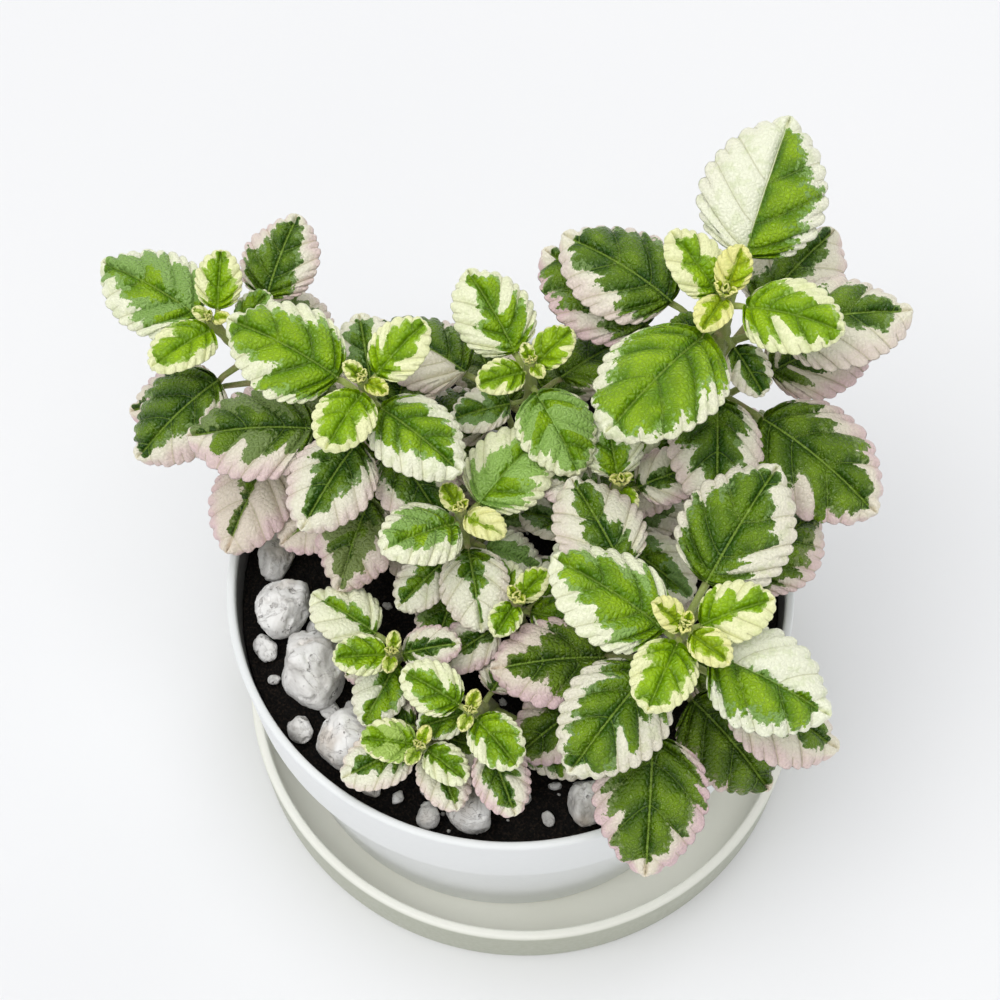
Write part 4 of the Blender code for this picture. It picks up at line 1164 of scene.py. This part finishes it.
def look_of(name, leaf, draw):
    """The chosen look of a leaf, or one that follows from its age, which its pair's number gives."""
    number, side = leaf.rank
    age = min(1.0, max(0.0, AGES[min(number, len(AGES) - 1)] + draw.uniform(-AGE_SPREAD, AGE_SPREAD)))
    cover = COVER if number < OLD_FROM else COVER_OLD
    pink = max(0.0, age - PINK_FROM) * draw.uniform(*PINK)
    drawn = Look(
        draw.uniform(*cover), draw.uniform(*cover), age, pink, tip=draw.uniform(*TIPS),
        patch=draw.choice(PATCHES))
    return LOOKS[name].get(number, (None, None))[side] or drawn


def make_foliage():
    """All of each leafy stem as one fine piece."""
    materials = [leaf_material(), stalk_material()]
    for name, leaves in place_leaves().items():
        stem = STEMS[name]
        draw = random.Random(f"{LOOK_SEED} {name}")
        builder = Builder()
        add_stem(builder, stem, [leaf.start for leaf in leaves])
        for leaf in leaves + bud_leaves(stem_middle(stem), stem):
            look = look_of(name, leaf, draw)
            add_stalk(builder, leaf, look.age)
            add_blade(builder, leaf, look, draw)
        dress(name.replace("stem", "stem_fine"), builder.mesh(name), materials, name)


# Pot, saucer, soil and stones

def ring_of(radius, height, steps):
    """Places at even angles on a level circle."""
    places = [spin(2 * math.pi * k / steps) * radius for k in range(steps)]
    return [(place.x, place.y, height) for place in places]


def closed(name, rings, top, bottom):
    """A closed body through rings of places, with a middle point at a height for its top and its bottom."""
    bm = bmesh.new()
    rows = [[bm.verts.new([part * MM for part in place]) for place in ring] for ring in rings]
    after = [row[1:] + row[:1] for row in rows]
    first, last = (bm.verts.new((0, 0, height * MM)) for height in (top, bottom))
    for number in range(len(rows) - 1):
        for corners in zip(rows[number], rows[number + 1], after[number + 1], after[number]):
            bm.faces.new(corners)
    for a, b, c, d in zip(rows[0], after[0], after[-1], rows[-1]):
        bm.faces.new((first, a, b))
        bm.faces.new((last, c, d))
    return mesh_of(bm, name)


def rounded(profile, radii):
    """A profile with its inner corners rounded by arcs of the given radii."""
    found = [profile[0]]
    for before, corner, after, radius in zip(profile, profile[1:], profile[2:], radii):
        a, b, c = Vector(before), Vector(corner), Vector(after)
        to_a, to_c = (a - b).normalized(), (c - b).normalized()
        half = to_a.angle(to_c) / 2
        cut = min(radius / math.tan(half), (a - b).length * 0.49, (c - b).length * 0.49)
        start, end = b + to_a * cut, b + to_c * cut
        for step in range(ROUNDING_STEPS + 1):
            t = step / ROUNDING_STEPS
            found.append(tuple(start * (1 - t) ** 2 + b * 2 * t * (1 - t) + end * t ** 2))
    return found + [profile[-1]]


def turned(name, profile, radii):
    """A body turned round Z. Its profile runs from the middle of its foot round the outside to its floor."""
    found = rounded(profile, radii)[::-1]
    rings = [ring_of(radius, height, TURNED_STEPS) for radius, height in found[1:-1]]
    return closed(name, rings, found[0][1], found[-1][1])


def make_saucer():
    profile = (
        (0.0, 0.0), (SAUCER_FOOT_RADIUS, 0.0), (SAUCER_RIM_RADIUS, SAUCER_HEIGHT),
        (SAUCER_RIM_RADIUS - SAUCER_WALL, SAUCER_HEIGHT), (SAUCER_FOOT_RADIUS - SAUCER_WALL, SAUCER_FLOOR),
        (0.0, SAUCER_FLOOR))
    # The last colour is painted shade on the saucer's outer wall
    material = plastic_material(
        "saucer", linear(240, 240, 230), linear(232, 232, 220), linear(174, 177, 158), saucer_wall_painted_shade)
    mesh = turned("saucer_fine", profile, SAUCER_ROUNDING)
    dress("saucer_fine", mesh, [material], "saucer", SAUCER_SHIFT)


def inner_radius(height):
    """The radius of the pot's inside at a height."""
    if height >= POT_SHOULDER:
        share = (height - POT_SHOULDER) / POT_COLLAR_DEPTH
        return blend(POT_COLLAR_FOOT_RADIUS, POT_RIM_RADIUS, share) - POT_WALL
    share = (height - POT_BOTTOM) / (POT_SHOULDER - POT_BOTTOM)
    return blend(POT_BODY_FOOT_RADIUS, POT_BODY_TOP_RADIUS, share) - POT_WALL


def drilled(mesh):
    """The pot's mesh with drain holes through its floor."""
    bm = bmesh.new()
    for k in range(DRAINS):
        place = spin(2 * math.pi * (k + 0.5) / DRAINS) * DRAIN_CIRCLE * MM
        bmesh.ops.create_cone(
            bm, cap_ends=True, segments=DRAIN_STEPS, radius1=DRAIN_RADIUS * MM, radius2=DRAIN_RADIUS * MM,
            depth=4 * POT_FLOOR * MM, matrix=Matrix.Translation(place + Vector((0, 0, POT_BOTTOM * MM))))
    solid = show("pot_solid", mesh)
    drains = show("drains", mesh_of(bm, "drains", smooth=False))
    modifier = solid.modifiers.new("drains", "BOOLEAN")
    modifier.operation = "DIFFERENCE"
    modifier.object = drains
    seen = solid.evaluated_get(bpy.context.evaluated_depsgraph_get())
    found = bpy.data.meshes.new_from_object(seen)
    for used in (solid, drains):
        bpy.data.objects.remove(used)
    return found


def make_pot():
    floor = POT_BOTTOM + POT_FLOOR
    ring = POT_BODY_FOOT_RADIUS - POT_FOOT_RING
    step = POT_SHOULDER - POT_SHOULDER_STEP
    profile = (
        (0.0, POT_BOTTOM + POT_RECESS), (ring - POT_FOOT_SLOPE, POT_BOTTOM + POT_RECESS), (ring, POT_BOTTOM),
        (POT_BODY_FOOT_RADIUS, POT_BOTTOM), (POT_BODY_TOP_RADIUS, POT_SHOULDER - POT_LEDGE),
        (POT_COLLAR_FOOT_RADIUS, POT_SHOULDER), (POT_RIM_RADIUS, POT_TOP),
        (POT_RIM_RADIUS - POT_WALL, POT_TOP), (inner_radius(POT_SHOULDER), POT_SHOULDER),
        (inner_radius(step), step), (inner_radius(floor), floor), (0.0, floor))
    # The last colour darkens the pot's inner wall below its rim
    material = plastic_material(
        "pot", linear(238, 240, 240), linear(232, 235, 235), linear(44, 40, 36), pot_inside)
    mesh = drilled(turned("pot_fine", profile, POT_ROUNDING))
    dress("pot_fine", mesh, [material], "pot")


def fine_stone(x, y, radius, seed, fineness=STONE_FINENESS, width=STONE_WIDTH, flatness=STONE_FLATNESS):
    """The stone of the part on a fine ball, its breaks softened, with lumps and small pits."""
    draw = random.Random(STONE_SEED * 100 + seed)
    breaks = [(Vector((0, 0, -1)), STONE_FOOT)]
    for _ in range(STONE_BREAKS):
        height = draw.uniform(-1, 1)
        way = spin(draw.uniform(0, 2 * math.pi)) * math.sqrt(1 - height ** 2) + Vector((0, 0, height))
        breaks.append((way, draw.uniform(*STONE_BREAK_DEPTH)))
    form = Matrix.Rotation(draw.uniform(0, math.pi), 3, "Z")
    form = form @ Matrix.Diagonal((draw.uniform(*width), 1.0, draw.uniform(*flatness))) * radius
    bm = bmesh.new()
    bmesh.ops.create_icosphere(bm, subdivisions=fineness, radius=1.0)
    shift = Vector((seed * 3.1, seed * 1.7, 0.0))
    for vert in bm.verts:
        away = vert.co.copy()
        softened = sum(math.exp(STONE_SOFTNESS * (way.dot(away) / depth - 1)) for way, depth in breaks)
        reach = 1 / (1 + math.log(1 + softened) / STONE_SOFTNESS)
        lump = noise.fractal(away * STONE_LUMPS_SCALE + shift, 0.8, 2.1, 4)
        grit = noise.fractal(away * radius * STONE_GRIT_SCALE + shift, 0.7, 2.3, 3)
        pit = max(0.0, noise.noise(away * radius * STONE_PITS_SCALE + shift * 2) - STONE_PITS_FROM)
        full = STONE_FULLNESS + STONE_LUMPS * lump + STONE_GRIT * grit - STONE_PITS * pit
        vert.co = form @ (away * reach * full)
    lift = SOIL_TOP + GAP - min(v.co.z for v in bm.verts)
    for vert in bm.verts:
        vert.co = (vert.co + Vector((x, y, lift))) * MM
    return mesh_of(bm, "stone")


def make_stones():
    """The stones, and smaller broken bits between them as one piece."""
    materials = [stone_material()]
    for number, stone in enumerate(stones(), 1):
        dress(f"stone_fine_{number:02d}", fine_stone(*stone), materials, f"stone_{number:02d}")
    gravel = bmesh.new()
    for seed, bit in enumerate(GRAVEL, GRAVEL_SEED):
        gravel.from_mesh(fine_stone(*bit, seed, GRAVEL_FINENESS, GRAVEL_WIDTH, GRAVEL_FLATNESS))
    dress("gravel", mesh_of(gravel, "gravel"), materials)


def soil_height(x, y):
    """The crumbly top of the soil."""
    place = Vector((x, y, 3.0))
    clods = noise.fractal(place * SOIL_CLODS_SCALE, 0.9, 2.0, 4)
    crumbs = abs(noise.fractal(place * SOIL_CRUMBS_SCALE, 0.7, 2.2, 4))
    return SOIL_TOP - SOIL_SINK + SOIL_CLODS * clods + SOIL_CRUMBS * crumbs


def make_soil():
    """The pot's filling with a crumbly top, in rings from the middle out and then down its sides."""
    edge = inner_radius(SOIL_TOP) - GAP
    low = POT_BOTTOM + POT_FLOOR + GAP
    step = POT_SHOULDER - POT_SHOULDER_STEP
    rings = [ring_of(edge * ring / SOIL_RINGS, SOIL_TOP, SOIL_STEPS) for ring in range(1, SOIL_RINGS + 1)]
    rings = [[(x, y, soil_height(x, y)) for x, y, _ in ring] for ring in rings]
    rings += [
        ring_of(inner_radius(POT_SHOULDER) - GAP, POT_SHOULDER + GAP, SOIL_STEPS),
        ring_of(inner_radius(step) - GAP, step, SOIL_STEPS),
        ring_of(inner_radius(low) - GAP - POT_FOOT_EDGE, low, SOIL_STEPS),
    ]
    dress("soil_fine", closed("soil", rings, soil_height(0, 0), low), [soil_material()], "soil")


def make_perlite():
    """Small rough grains that lie half sunk in the soil, kept off the stones."""
    draw = random.Random(PERLITE_SEED)
    bm = bmesh.new()
    found = stones()
    placed = 0
    while placed < PERLITE_GRAINS:
        size = draw.uniform(*PERLITE_SIZES)
        reach = (inner_radius(SOIL_TOP) - 2 * size) * math.sqrt(draw.random())
        place = spin(draw.uniform(0, 2 * math.pi)) * reach
        if any(math.dist(place[:2], (x, y)) < radius * PERLITE_SPACE for x, y, radius, _ in found):
            continue
        placed += 1
        middle = Vector((place.x, place.y, soil_height(place.x, place.y) + PERLITE_RISE * size))
        turn, axis = draw.uniform(0, math.pi), Vector((draw.random(), draw.random(), 1.0))
        form = Matrix.Rotation(turn, 3, axis.normalized())
        sides = (draw.uniform(*PERLITE_WIDTH), 1.0, draw.uniform(*PERLITE_FLATNESS))
        form = form @ Matrix.Diagonal(sides) * size
        shift = Vector((placed * 1.3, 0.0, 0.0))
        for vert in bmesh.ops.create_icosphere(bm, subdivisions=PERLITE_FINENESS, radius=1.0)["verts"]:
            lump = noise.noise(vert.co * 1.5 + shift)
            grit = noise.noise(vert.co * 4 + shift)
            rough = 1 + PERLITE_LUMPS * lump + PERLITE_GRIT * grit
            vert.co = (form @ (vert.co * rough) + middle) * MM
    dress("perlite", mesh_of(bm, "perlite"), [perlite_material()])


def main():
    make_saucer()
    make_pot()
    make_soil()
    make_stones()
    make_perlite()
    make_foliage()


# Table, light and camera

def make_stage():
    mesh = bpy.data.meshes.new("table_top")
    corners = [(x * TABLE_REACH, y * TABLE_REACH, 0) for x, y in ((-1, -1), (1, -1), (1, 1), (-1, 1))]
    mesh.from_pydata(corners, [], [(0, 1, 2, 3)])
    mesh.materials.append(floor_material())
    show("table_top", mesh)


def make_light():
    """A pale room, brighter towards the horizon, and even lights that come from the way of their places."""
    g = Graph("studio", owners=bpy.data.worlds)
    height = g.axis(g.add("TexCoord", output="Generated"), "Z")
    strength = g.span(height, *WORLD_SPAN, *WORLD_STRENGTH, kind="LINEAR")
    bpy.context.scene.world = g.finish("Background", Color=WORLD_COLOUR, Strength=strength)
    for name, place, energy, angle in LIGHTS:
        data = bpy.data.lights.new(name, "SUN")
        data.energy = energy
        data.angle = math.radians(angle)
        lamp = show(name, data)
        lamp.location = place
        way = Vector((0, 0, POT_TOP * MM)) - Vector(place)
        lamp.rotation_euler = way.to_track_quat("-Z", "Y").to_euler()


def make_camera():
    data = bpy.data.cameras.new("camera")
    data.lens = LENS
    data.sensor_width = SENSOR
    data.clip_start = CAMERA_NEAREST
    camera = show("camera", data)
    camera.location = Vector(CAMERA_PLACE) * MM
    camera.rotation_euler = (math.radians(CAMERA_TILT), 0, 0)
    bpy.context.scene.camera = camera


main()
make_stage()
make_light()
make_camera()
bpy.context.scene.view_settings.view_transform = "Standard"
